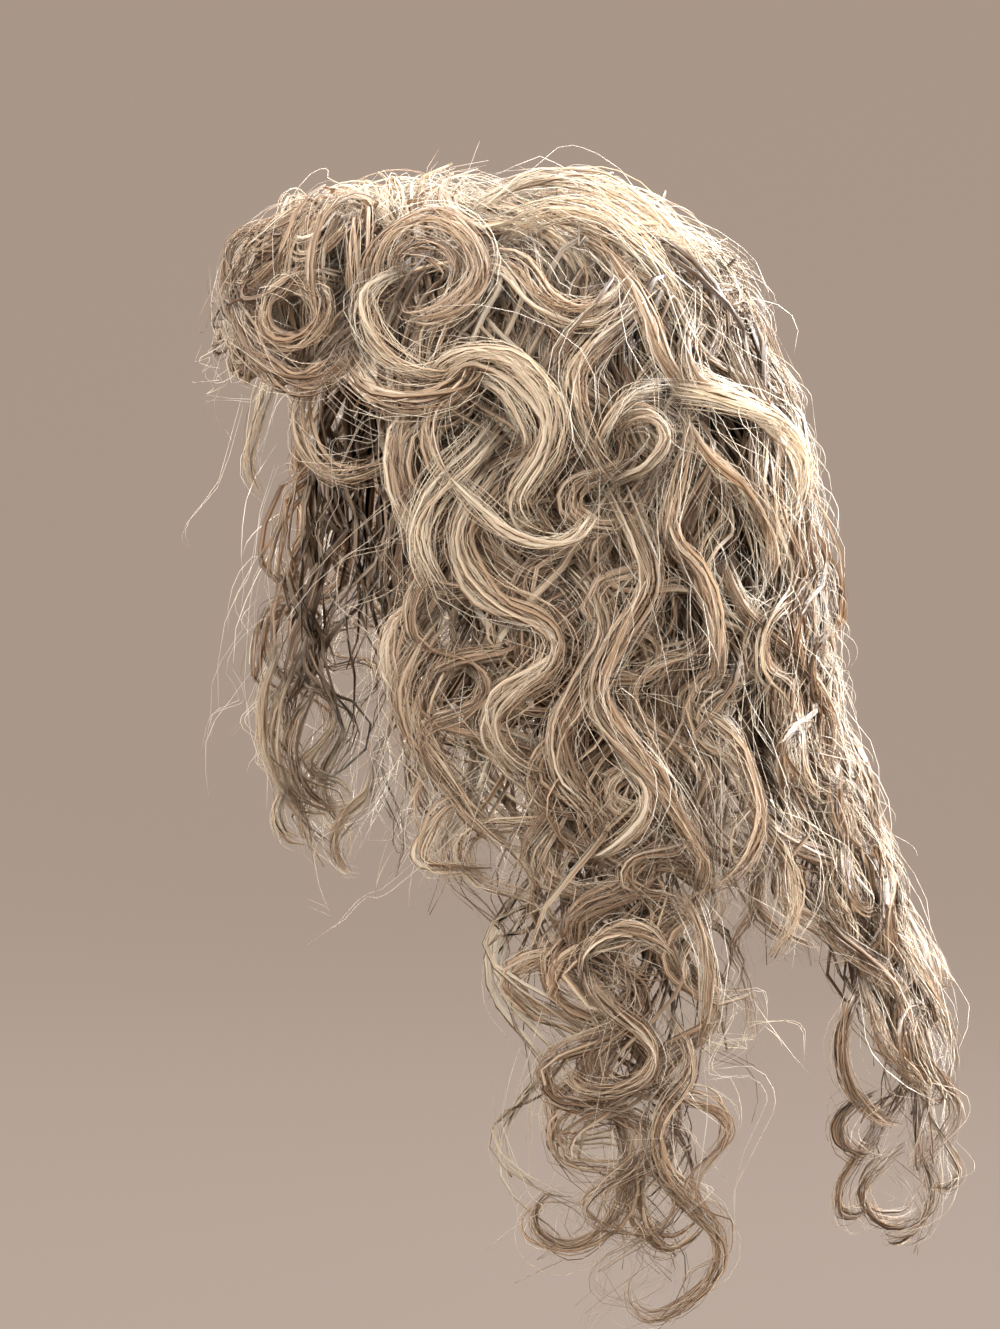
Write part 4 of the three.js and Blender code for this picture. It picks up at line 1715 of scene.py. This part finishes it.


# Tones in these tables hold painted highlight on the brightest curls and painted shade on the darkest,
# besides the hair's own colour.
LEFT_CURLS = {
    "upper_sweep": StandOut.along(
        4.4, 0.95, 32,
        (430, 392, 5), (446, 366, 14), (474, 355, 17), (510, 363, 18), (540, 389, 19), (553, 418, 19),
        (546, 452, 19), (528, 480, 19), (518, 504, 19), (530, 528, 18), (552, 540, 12),
    ),
    "inner_sweep": StandOut.along(
        1.3, 0.97, 12,
        (462, 372, 10), (500, 386, 19), (520, 412, 20), (529, 440, 20), (520, 468, 14),
    ),
    "lower_s": StandOut.along(
        4.0, 0.76, 28,
        (508, 456, 6), (488, 486, 15), (468, 510, 17), (460, 540, 17), (472, 574, 17), (500, 602, 18),
        (540, 620, 18), (556, 644, 18), (546, 670, 18), (516, 692, 18), (494, 718, 17), (500, 750, 17),
        (526, 772, 15), (562, 774, 6),
    ),
    "hook": StandOut.along(
        1.7, 1.0, 16,
        (433, 456, 14), (469, 496, 21), (501, 528, 22), (532, 543, 22), (564, 541, 22), (588, 521, 21),
        (592, 496, 14),
    ),
    "cheek_edge": StandOut.along(
        3.0, 0.92, 20,
        (506, 420, 10), (476, 452, 18), (451, 476, 19), (430, 502, 18), (420, 532, 17), (424, 560, 16),
        (436, 584, 14), (450, 604, 5),
    ),
    "cheek_loop": StandOut.along(
        2.4, 0.82, 16,
        (474, 376, 8), (436, 402, 14), (428, 442, 16), (448, 484, 17), (486, 516, 10),
    ),
    "neck_edge": StandOut.along(
        2.4, 0.45, 16,
        (456, 598, 8), (420, 648, 13), (401, 690, 13), (408, 734, 13), (438, 774, 13), (468, 812, 13),
        (500, 840, 12), (530, 848, 4),
    ),
    "neck_inner": StandOut.along(
        2.2, 0.4, 14,
        (474, 624, 8), (438, 676, 12), (424, 716, 12), (440, 760, 12), (474, 792, 5),
    ),
    "neck_flick": StandOut.along(
        1.2, 0.6, 10,
        (482, 790, 8), (446, 806, 12), (428, 836, 12), (425, 860, 12), (446, 872, 12), (502, 871, 6),
    ),
    "middle_s": StandOut.along(
        3.3, 0.66, 22,
        (606, 468, 6), (636, 536, 16), (648, 584, 17), (620, 634, 17), (598, 682, 17), (608, 718, 17),
        (642, 762, 17), (672, 806, 17), (700, 850, 15), (694, 888, 6),
    ),
    "front_s": StandOut.along(
        3.3, 0.6, 22,
        (552, 548, 6), (592, 590, 15), (604, 636, 16), (580, 686, 16), (556, 730, 16), (562, 776, 16),
        (596, 816, 15), (606, 856, 12), (586, 896, 5),
    ),
    "behind_s": StandOut.along(
        3.0, 0.55, 22,
        (660, 470, 6), (674, 540, 15), (700, 572, 15), (716, 614, 15), (718, 664, 15), (702, 706, 6),
    ),
    "shoulder_s": StandOut.along(
        3.0, 0.5, 22,
        (716, 552, 6), (742, 606, 13), (776, 640, 13), (806, 676, 13), (828, 716, 12), (828, 760, 12),
        (802, 796, 5),
    ),
    "dark_c": StandOut.along(
        2.8, 0.3, 18,
        (686, 694, 8), (732, 736, 17), (752, 780, 18), (762, 822, 18), (750, 858, 18), (722, 884, 17),
        (696, 892, 8),
    ),
    "dark_s": StandOut.along(
        2.8, 0.32, 18,
        (608, 640, 8), (597, 700, 18), (622, 740, 19), (654, 776, 19), (680, 822, 19), (704, 862, 18),
        (696, 892, 14), (676, 898, 6),
    ),
    "low_c": StandOut.along(
        3.0, 0.86, 18,
        (616, 752, 8), (644, 790, 18), (640, 822, 19), (612, 848, 18), (586, 858, 8),
    ),
    "lower_back": StandOut.along(
        2.4, 0.7, 16,
        (752, 800, 8), (788, 852, 15), (797, 896, 15), (786, 938, 14), (764, 966, 6),
    ),
    "back_loop": StandOut.along(
        4.8, 0.97, 30,
        (664, 386, 6), (714, 396, 18), (770, 420, 20), (797, 462, 20), (793, 508, 18), (770, 544, 8),
    ),
    "upper_c": StandOut.along(
        3.9, 0.76, 24,
        (652, 292, 5), (602, 332, 15), (572, 372, 17), (578, 420, 17), (606, 470, 15), (624, 492, 6),
    ),
    "upper_arc": StandOut.along(
        1.9, 0.82, 14,
        (672, 388, 12), (628, 396, 17), (602, 430, 18), (596, 464, 10),
    ),
    "small_loop": StandOut.along(
        1.7, 0.5, 12,
        (606, 486, 10), (648, 466, 17), (666, 438, 18), (650, 416, 18), (620, 424, 14), (606, 452, 8),
    ),
    "thin_s": StandOut.along(
        1.2, 0.6, 12,
        (682, 404, 12), (690, 440, 17), (676, 484, 18), (666, 526, 17), (674, 566, 8),
    ),
    "flow": StandOut.along(
        3.4, 0.62, 22,
        (676, 420, 5), (700, 452, 14), (738, 484, 16), (764, 524, 15), (770, 566, 13), (752, 604, 5),
    ),
    "edge_wave": StandOut.along(
        2.2, 0.75, 18,
        (702, 306, 5), (686, 346, 14), (700, 384, 16), (744, 402, 15), (786, 432, 15), (812, 480, 14),
        (806, 530, 6),
    ),
    "tail_loop": StandOut.along(
        1.9, 0.48, 18,
        (588, 958, 8), (594, 988, 14), (616, 1012, 15), (641, 1030, 16), (655, 1053, 16),
        (642, 1078, 16), (607, 1090, 16), (578, 1083, 15), (563, 1062, 12), (567, 1038, 6),
    ),
    "tail_edge": StandOut.along(
        1.5, 0.7, 14,
        (676, 884, 8), (696, 922, 14), (706, 966, 14), (705, 1016, 12), (696, 1058, 6),
    ),
    "tail_s": StandOut.along(
        1.7, 0.62, 16,
        (662, 1006, 8), (687, 1044, 13), (687, 1074, 13), (664, 1104, 12), (655, 1138, 11),
        (666, 1178, 9), (695, 1201, 7), (718, 1226, 5), (721, 1250, 4), (706, 1278, 2),
    ),
    "tail_bow": StandOut.along(
        1.4, 0.6, 14,
        (588, 992, 8), (583, 956, 15), (600, 935, 16), (626, 930, 16), (652, 939, 16), (672, 960, 14),
        (682, 990, 6),
    ),
    "left_ringlet": StandOut.along(
        1.6, 0.33, 16,
        (606, 1096, 2), (626, 1150, 2), (624, 1196, 4), (604, 1231, 4), (570, 1250, 4), (538, 1237, 4),
        (532, 1214, 2), (550, 1194, 0), (582, 1196, 0),
    ),
    "right_ringlet": StandOut.along(
        1.5, 0.38, 14,
        (648, 1096, 2), (660, 1160, 3), (690, 1204, 4), (716, 1240, 4), (714, 1274, 4), (690, 1302, 3),
        (652, 1320, 2), (629, 1302, 0), (632, 1280, -2), (654, 1264, -2),
    ),
    "inner_ringlet": StandOut.along(
        1.3, 0.38, 12,
        (652, 1150, 0), (634, 1186, 0), (640, 1222, 2), (668, 1246, 2), (698, 1232, 0), (706, 1206, -2),
    ),
}
BACK_CURLS = {
    "rest_s": StandOut.along(
        2.4, 0.36, 18,
        (764, 744, 3), (788, 790, 7), (796, 832, 8), (780, 872, 8), (790, 908, 8), (822, 930, 7),
        (842, 950, 4),
    ),
    "rest_c": StandOut.along(
        2.0, 0.5, 16,
        (806, 806, 3), (832, 850, 6), (826, 892, 7), (846, 926, 6), (842, 958, 3), (816, 962, 1),
    ),
    "rest_wave": StandOut.along(
        2.2, 0.42, 16,
        (730, 830, 3), (758, 866, 7), (754, 904, 8), (778, 934, 7), (806, 946, 5), (812, 968, 1),
    ),
    "tail_root": StandOut.along(
        2.6, 0.32, 22,
        (800, 880, 4), (830, 930, 8), (862, 954, 9), (888, 980, 9), (902, 1012, 9), (914, 1042, 8),
        (928, 1072, 7), (950, 1092, 6), (958, 1116, 5), (944, 1140, 5), (918, 1160, 4), (896, 1172, 1),
    ),
    "outer_arc": StandOut.along(
        1.5, 0.42, 14,
        (868, 908, 4), (906, 950, 7), (930, 990, 7), (948, 1026, 6), (955, 1060, 5), (948, 1096, 3),
    ),
    "inner_wave": StandOut.along(
        2.0, 0.54, 16,
        (856, 972, 6), (872, 1012, 10), (878, 1040, 10), (894, 1064, 10), (914, 1083, 9),
        (934, 1104, 5),
    ),
    "left_bow": StandOut.along(
        2.2, 0.22, 18,
        (862, 984, 4), (847, 1018, 8), (842, 1056, 8), (850, 1092, 8), (874, 1116, 7), (904, 1124, 3),
    ),
    "small_ring": StandOut.along(
        1.5, 0.17, 14,
        (874, 1092, 4), (854, 1104, 8), (840, 1123, 8), (847, 1146, 8), (870, 1154, 7), (881, 1134, 4),
    ),
    "low_left": StandOut.along(
        1.3, 0.24, 12,
        (890, 1104, 4), (874, 1136, 6), (856, 1160, 6), (840, 1188, 5), (841, 1213, 5), (860, 1215, 4),
        (868, 1196, 1),
    ),
    "low_ring": StandOut.along(
        1.4, 0.34, 12,
        (906, 1146, 3), (878, 1170, 5), (864, 1196, 5), (878, 1218, 5), (904, 1216, 4), (915, 1190, 2),
    ),
    "bottom_hook": StandOut.along(
        1.4, 0.28, 12,
        (918, 1150, 3), (934, 1180, 4), (932, 1210, 4), (912, 1231, 3), (888, 1236, 2), (884, 1222, 0),
    ),
    "side_hook": StandOut.along(
        1.0, 0.47, 9,
        (926, 1112, 3), (946, 1148, 4), (958, 1174, 3), (944, 1188, 1), (926, 1180, 0),
    ),
    "mid_band": StandOut.along(
        2.6, 0.34, 20,
        (744, 800, 5), (772, 838, 9), (808, 856, 9), (838, 872, 9), (852, 900, 8), (848, 930, 3),
    ),
    "high_band": StandOut.along(
        2.4, 0.5, 18,
        (772, 742, 5), (806, 780, 9), (842, 800, 9), (856, 828, 8), (850, 860, 3),
    ),
}
# The far side's curls are toned pale: painted light shining through them from behind.
RIGHT_CURLS = {
    "outer_wave": StandOut.along(
        2.2, 0.9, 16,
        (282, 640, -2), (264, 690, -3), (261, 736, -3), (266, 758, -3), (276, 778, -3), (292, 798, -4),
        (304, 816, -4), (310, 842, -4), (324, 866, -4),
    ),
    "second_wave": StandOut.along(
        1.8, 0.8, 14,
        (300, 650, -3), (276, 700, -4), (271, 738, -5), (278, 762, -5), (288, 786, -5), (304, 806, -5),
        (326, 812, -4), (338, 830, -3),
    ),
    "inner_bow": StandOut.along(
        2.4, 0.62, 18,
        (318, 680, -4), (296, 716, -7), (287, 744, -8), (289, 766, -8), (296, 784, -8), (310, 800, -8),
        (334, 808, -8), (360, 802, -6),
    ),
    "zigzag": StandOut.along(
        1.8, 0.92, 14,
        (340, 700, -5), (330, 730, -7), (316, 750, -9), (307, 765, -9), (320, 778, -9), (342, 786, -8),
        (352, 804, -6),
    ),
    "low_bow": StandOut.along(
        2.2, 0.6, 16,
        (372, 764, -5), (364, 796, -8), (344, 815, -9), (333, 834, -9), (332, 852, -8), (342, 870, -6),
        (356, 874, -4),
    ),
    "white_fill": StandOut.along(
        3.2, 0.95, 20,
        (356, 690, -2), (340, 740, -3), (322, 778, -3), (330, 812, -3), (350, 838, -3), (344, 864, -3),
    ),
    "little_hook": StandOut.along(
        1.2, 0.95, 10,
        (292, 768, -3), (281, 800, -4), (278, 820, -4), (287, 836, -4), (302, 840, -3),
    ),
    "brow_lock": StandOut.along(
        1.8, 0.95, 14,
        (276, 352, 6), (264, 388, 7), (255, 424, 7), (248, 456, 7), (252, 480, 6), (262, 498, 4),
    ),
}
FRINGE_CURLS = {
    "front_ring": StandOut.along(
        2.1, 0.5, 18,
        (236, 304, 2), (226, 270, 8), (236, 240, 10), (262, 232, 10), (282, 250, 10), (280, 276, 9),
        (262, 288, 6), (246, 276, 2),
    ),
    "brow_roll": StandOut.along(
        3.9, 0.34, 26,
        (228, 258, 2), (224, 290, 8), (236, 330, 14), (258, 362, 18), (296, 384, 20), (330, 378, 20),
        (350, 356, 16), (356, 326, 6),
    ),
    "tuft": StandOut.along(
        1.8, 0.6, 16,
        (334, 262, 4), (322, 228, 10), (304, 200, 12), (288, 204, 12), (286, 232, 10), (298, 264, 5),
    ),
    "inner_loop": StandOut.along(
        1.8, 0.55, 16,
        (300, 352, 8), (270, 336, 14), (262, 306, 16), (280, 284, 16), (306, 292, 15), (314, 320, 12),
        (300, 342, 6),
    ),
    "top_roll": StandOut.along(
        3.6, 0.95, 24,
        (298, 244, 3), (318, 208, 10), (348, 194, 12), (380, 206, 11), (400, 238, 4),
    ),
}
CROWN_CURLS = {
    "ring": StandOut.along(
        3.3, 0.56, 24,
        (384, 308, 4), (372, 270, 15), (390, 234, 16), (428, 217, 16), (462, 231, 16), (479, 264, 16),
        (468, 296, 16), (440, 315, 16), (408, 316, 12), (394, 296, 5),
    ),
    "inner_ring": StandOut.along(
        2.1, 0.42, 16,
        (402, 298, 5), (397, 262, 13), (418, 243, 13), (446, 250, 13), (456, 273, 12), (440, 293, 8),
    ),
    "bright_c": StandOut.along(
        2.6, 0.8, 22,
        (414, 270, 1), (382, 283, 15), (366, 304, 19), (372, 334, 20), (398, 360, 20), (440, 376, 17),
        (474, 370, 7),
    ),
    "brow_band": StandOut.along(
        3.9, 0.36, 24,
        (340, 350, 6), (368, 388, 15), (412, 399, 17), (454, 387, 17), (476, 356, 14), (482, 328, 5),
    ),
    "top_band": StandOut.along(
        4.8, 0.97, 28,
        (462, 212, 4), (528, 180, 12), (594, 184, 14), (648, 216, 15), (690, 262, 15), (720, 318, 6),
    ),
    "second_band": StandOut.along(
        4.2, 0.8, 26,
        (490, 236, 4), (556, 212, 14), (618, 230, 15), (662, 274, 15), (692, 330, 6),
    ),
    "fall_band": StandOut.along(
        3.8, 0.58, 24,
        (560, 226, 3), (606, 252, 12), (640, 300, 14), (660, 350, 15), (684, 384, 12), (706, 424, 4),
    ),
    "tip_curl": StandOut.along(
        1.3, 0.36, 12,
        (660, 262, 4), (694, 296, 12), (720, 322, 15), (714, 352, 15), (694, 356, 10),
    ),
    "upper_s": StandOut.along(
        3.6, 0.62, 22,
        (470, 262, 5), (512, 268, 15), (540, 300, 16), (580, 316, 16), (616, 300, 12), (630, 276, 5),
    ),
}


@dataclass
class StandOutCurls(HairPiece):
    """The curls that stand out on one side of a group, each along its own course."""

    FEWEST_FLATS = 2
    HAIRS_PER_STRAND = 1.3
    STRAYS = 7

    name: str = ""
    curls: dict[str, StandOut] = field(default_factory=dict)
    sight: Sight = field(default_factory=Sight)
    side: Side = Side.LEFT

    def build(self) -> None:
        """Builds the curls."""
        for curl in self.curls.values():
            lock = Lock(
                np.array([self.sight.place(seen, self.head, self.side) for seen in curl.course]),
                half=curl.half * MM,
                flats=self.FEWEST_FLATS + int(curl.half),
                hairs=int(curl.strands * self.HAIRS_PER_STRAND),
                flat_half=0.95 * MM,
                flat_bend=0.38,
                hair_bend=0.36,
                tone=curl.tone,
                tone_spread=0.12,
                loose=1.3,
                ragged=0.18,
                root_fan=0.3,
                root_width=0.1,
                section=0.6,
                waviness=0.7 * MM,
                twist=5.0,
            )
            self.grow(lock)
            self.grow_strays(lock, self.STRAYS, spread=2.0)
        self.dress(self.name, self.name)


@dataclass
class WigCap:
    """The cap: a smooth dome of net whose edge follows the hairline."""

    NET_MAP = "Net"
    HALF_BALL = 90.0

    head: HeadForm
    finish: bpy.types.Material
    wall: float = 2 * MM
    rim: tuple[RimPoint, ...] = (
        RimPoint(0, 80),
        RimPoint(35, 80),
        RimPoint(52, 85),
        RimPoint(66, 100),
        RimPoint(78, 122),
        RimPoint(92, 112),
        RimPoint(112, 118),
        RimPoint(140, 146),
        RimPoint(180, 152),
    )
    segments: int = 96
    rings: int = 64
    smooth_below: float = 40.0

    def rim_fall(self, around: Array) -> Array:
        """How far the cap falls at places round the head, in degrees."""
        return np.interp(np.abs(around), *zip(*self.rim))

    def build(self) -> None:
        """Builds the cap from half a sphere, shaped over the head and given its wall."""
        bpy.ops.object.select_all(action="DESELECT")
        bpy.ops.mesh.primitive_uv_sphere_add(segments=self.segments, ring_count=self.rings, radius=1.0)
        made = bpy.context.object
        made.name = made.data.name = "cap_net"
        bpy.ops.object.mode_set(mode="EDIT")
        bpy.ops.mesh.select_all(action="SELECT")
        bpy.ops.mesh.bisect(plane_co=(0, 0, 0), plane_no=(0, 0, 1), clear_inner=True)
        bpy.ops.object.mode_set(mode="OBJECT")
        self._shape(made.data)
        wall = made.modifiers.new("wall", "SOLIDIFY")
        wall.thickness = self.wall
        wall.offset = 1.0
        bpy.ops.object.modifier_apply(modifier=wall.name)
        bpy.ops.object.shade_smooth_by_angle(angle=math.radians(self.smooth_below))
        made.data.materials.append(self.finish)
        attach(made, BODY)
        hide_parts("wig_cap")
        LOG.info("%s: %d faces", made.name, len(made.data.polygons))

    def _shape(self, mesh: bpy.types.Mesh) -> None:
        """Lays half a sphere over the head, and maps it in metres round and down.

        Args:
            mesh: The half sphere's mesh.
        """
        ball = np.empty(len(mesh.vertices) * 3)
        mesh.vertices.foreach_get("co", ball)
        ball = ball.reshape(-1, 3)
        around = np.degrees(np.arctan2(ball[:, 0], -ball[:, 1]))
        share = np.degrees(np.arccos(np.clip(ball[:, 2], -1.0, 1.0))) / self.HALF_BALL
        fall = share * self.rim_fall(around)
        mesh.vertices.foreach_set("co", self.head.over(around, fall, 0.0).ravel())
        mesh.uv_layers[0].name = self.NET_MAP
        layer = mesh.uv_layers[self.NET_MAP]
        grid = np.empty(len(mesh.loops) * 2)
        layer.uv.foreach_get("vector", grid)
        owners = np.empty(len(mesh.loops), dtype=int)
        mesh.loops.foreach_get("vertex_index", owners)
        grid = grid.reshape(-1, 2) * [FULL_TURN * self.head.half_depth, 0.0]
        grid[:, 1] = np.radians(fall[owners]) * self.head.half_depth
        layer.uv.foreach_set("vector", grid.ravel())


@dataclass
class Studio:
    """A plain floor that sweeps up all round, soft light in front, and strong light behind."""

    sight: Sight
    floor: float = -0.43
    radius: float = 3.6
    sweep: float = 1.3
    sweep_share: float = 0.9
    sweep_segments: int = 14
    wall: float = 3.2
    tint: Tint = (0.012, 0.01, 0.0085)
    glow: Tint = (0.385, 0.3, 0.243)
    paper_roughness: float = 0.95
    paper_gloss: float = 0.1
    aim: tuple[float, float, float] = (0.0, 0.02, -0.1)
    beam: float = 70.0
    sky: Tint = (1.0, 0.955, 0.905)
    sky_strength: float = 0.3
    lamps: tuple[Lamp, ...] = (
        Lamp("key", (1.9, -1.4, 1.0), 1.4, 22.5, (1.0, 0.965, 0.92)),
        Lamp("fill", (2.2, 1.3, 0.5), 1.4, 11.0, (1.0, 0.965, 0.93)),
        Lamp("back", (-1.0, 1.65, 0.9), 0.8, 43.0, (0.93, 0.965, 1.0)),
        Lamp("top", (-0.7, -0.4, 1.7), 0.8, 13.0, (0.95, 0.97, 1.0)),
        Lamp("far", (-1.5, -1.0, 0.1), 0.9, 4.0, (1.0, 0.97, 0.93)),
    )

    def build(self) -> None:
        """Builds the backdrop, the lights and the camera."""
        self._backdrop()
        for lamp in self.lamps:
            self._light(lamp)
        self._air()
        self.sight.camera()

    def _backdrop(self) -> None:
        """Builds the floor and its sweep as one bowl."""
        bpy.ops.object.select_all(action="DESELECT")
        bpy.ops.mesh.primitive_circle_add(
            vertices=96, radius=self.radius, fill_type="NGON", location=(0, 0, self.floor)
        )
        made = bpy.context.object
        made.name = "floor_sweep"
        bpy.ops.object.transform_apply()
        bpy.ops.object.mode_set(mode="EDIT")
        bpy.ops.mesh.select_all(action="SELECT")
        bpy.ops.mesh.inset(thickness=self.sweep, depth=0.0)
        bpy.ops.object.mode_set(mode="OBJECT")
        for vertex in made.data.vertices:
            outer = math.hypot(vertex.co.x, vertex.co.y) > self.radius - self.sweep / 2
            vertex.co.z += self.wall if outer else 0.0
        bevel = made.modifiers.new("sweep", "BEVEL")
        bevel.width = self.sweep * self.sweep_share
        bevel.segments = self.sweep_segments
        bpy.ops.object.modifier_apply(modifier=bevel.name)
        bpy.ops.object.shade_smooth()
        paper = Nodes("floor_paper")
        look = {"Base Color": (*self.tint, 1.0), "Roughness": self.paper_roughness}
        look |= {"Specular IOR Level": self.paper_gloss}
        look |= {"Emission Color": (*self.glow, 1.0), "Emission Strength": 1.0}
        paper.feed(paper.shader, look)
        made.data.materials.append(paper.material)

    def _light(self, lamp: Lamp) -> None:
        """Adds a soft lamp that faces the hair's middle.

        Args:
            lamp: The lamp.
        """
        bpy.ops.object.light_add(type="AREA", location=lamp.place)
        made = bpy.context.object
        made.name = lamp.name
        made.data.size = lamp.size
        made.data.energy = lamp.power
        made.data.color = lamp.tint
        made.data.spread = math.radians(self.beam)
        made.visible_camera = False
        aim = Vector(self.aim) - Vector(lamp.place)
        made.rotation_euler = aim.to_track_quat("-Z", "Y").to_euler()

    def _air(self) -> None:
        """Sets the room's even light, and plain colours on film."""
        world = bpy.data.worlds.new("room")
        world.use_nodes = True
        sky = world.node_tree.nodes["Background"]
        sky.inputs["Color"].default_value = (*self.sky, 1.0)
        sky.inputs["Strength"].default_value = self.sky_strength
        bpy.context.scene.world = world
        bpy.context.scene.view_settings.view_transform = "Standard"


LEFT_ROWS = (
    LongLock(72, 80, -182, 9, 11),
    LongLock(83, 90, -212, 10, 12),
    LongLock(94, 100, -318, 11, 13),
    LongLock(105, 111, -326, 11, 13),
    LongLock(116, 121, -258, 10, 12),
)
LEFT_EDGES = (
    Edge(-330, 98, 116),
    Edge(-250, 96, 119),
    Edge(-200, 90, 124),
    Edge(-170, 85, 130),
    Edge(-120, 78, 130),
    Edge(0, 77, 130),
)
BACK_ROWS = (
    LongLock(131, 134, -208, 9, 12),
    LongLock(145, 148, -216, 10, 13),
    LongLock(158, 160, -318, 11, 13),
    LongLock(171, 172, -326, 11, 13),
    LongLock(184, 184, -300, 10, 13),
    LongLock(198, 198, -214, 10, 13),
    LongLock(212, 213, -208, 9, 12),
    LongLock(225, 227, -202, 9, 12),
)
RIGHT_ROWS = (
    LongLock(241, 241, -206, 9, 12),
    LongLock(254, 255, -204, 10, 12),
    LongLock(268, 270, -202, 10, 12),
    LongLock(281, 285, -204, 10, 12),
    LongLock(294, 300, -198, 9, 11),
    LongLock(303, 316, -196, 9, 10),
)
RIGHT_EDGES = (
    Edge(-200, 230, 320),
    Edge(0, 230, 318),
)


def main() -> None:
    """Builds every piece of the wig, dresses it, and sets it in the studio."""
    logging.basicConfig(level=logging.INFO, format="%(name)s: %(message)s")
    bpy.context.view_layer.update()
    head = HeadForm()
    sight = Sight()
    # The wisp finish's pale colours are painted rim light on stray hairs; its glow and sheen are shading.
    wisp = HairFinish(
        "wisp_hair_painted_rim_light",
        shade=(0.66, 0.53, 0.41),
        ash=(0.84, 0.72, 0.59),
        beige=(0.95, 0.87, 0.76),
        cream=(1.0, 0.95, 0.87),
        glow=0.88,
        sheen=0.6,
        streak_contrast=0.2,
    ).material()
    pale = HairFinish("pale_hair_silk").material(), wisp
    ash = HairFinish("ash_hair_silk").material(), wisp

    WigCap(head, CapFinish().material()).build()
    CrownHair(Section.CROWN, *pale, Slot.PALE, head, seed=1).build()
    FringeCurls(Section.FRINGE, *pale, Slot.PALE, head, seed=2).build()
    TempleCurl(Section.TEMPLE, *pale, Slot.PALE, head, seed=3).build()
    left = dict(rows=LEFT_ROWS, edges=LEFT_EDGES, locks_per_row=5, hairs_per_lock=20, frizz_per_row=28)
    HairCurtain(Section.LEFT, *ash, Slot.ASH, head, seed=4, **left).build()
    back = dict(rows=BACK_ROWS, hairs_per_lock=17, wisps_per_row=20, edge_bows=190, loose=1.25)
    HairCurtain(Section.BACK, *ash, Slot.ASH, head, seed=5, **back).build()
    right = dict(rows=RIGHT_ROWS, edges=RIGHT_EDGES, hairs_per_lock=12, frizz_per_row=11, loose=1.8)
    right |= dict(under_depth=0.6, swings=(0.6, 1.6), bends=(62 * MM, 132 * MM), drifts=(0.3, 0.9))
    HairCurtain(Section.RIGHT, *ash, Slot.ASH, head, seed=6, **right).build()
    curls = dict(name="left_curls", curls=LEFT_CURLS, sight=sight)
    StandOutCurls(Section.LEFT, *pale, Slot.ASH, head, seed=7, **curls).build()
    curls = dict(name="right_curls", curls=RIGHT_CURLS, sight=sight, side=Side.RIGHT)
    StandOutCurls(Section.RIGHT, *pale, Slot.ASH, head, seed=11, **curls).build()
    curls = dict(name="back_curls", curls=BACK_CURLS, sight=sight)
    StandOutCurls(Section.BACK, *ash, Slot.ASH, head, seed=10, **curls).build()
    curls = dict(name="crown_curls", curls=CROWN_CURLS, sight=sight)
    StandOutCurls(Section.CROWN, *pale, Slot.PALE, head, seed=8, **curls).build()
    curls = dict(name="fringe_rings", curls=FRINGE_CURLS, sight=sight)
    StandOutCurls(Section.FRINGE, *pale, Slot.PALE, head, seed=9, **curls).build()

    Studio(sight).build()


if __name__ == "__main__":
    main()
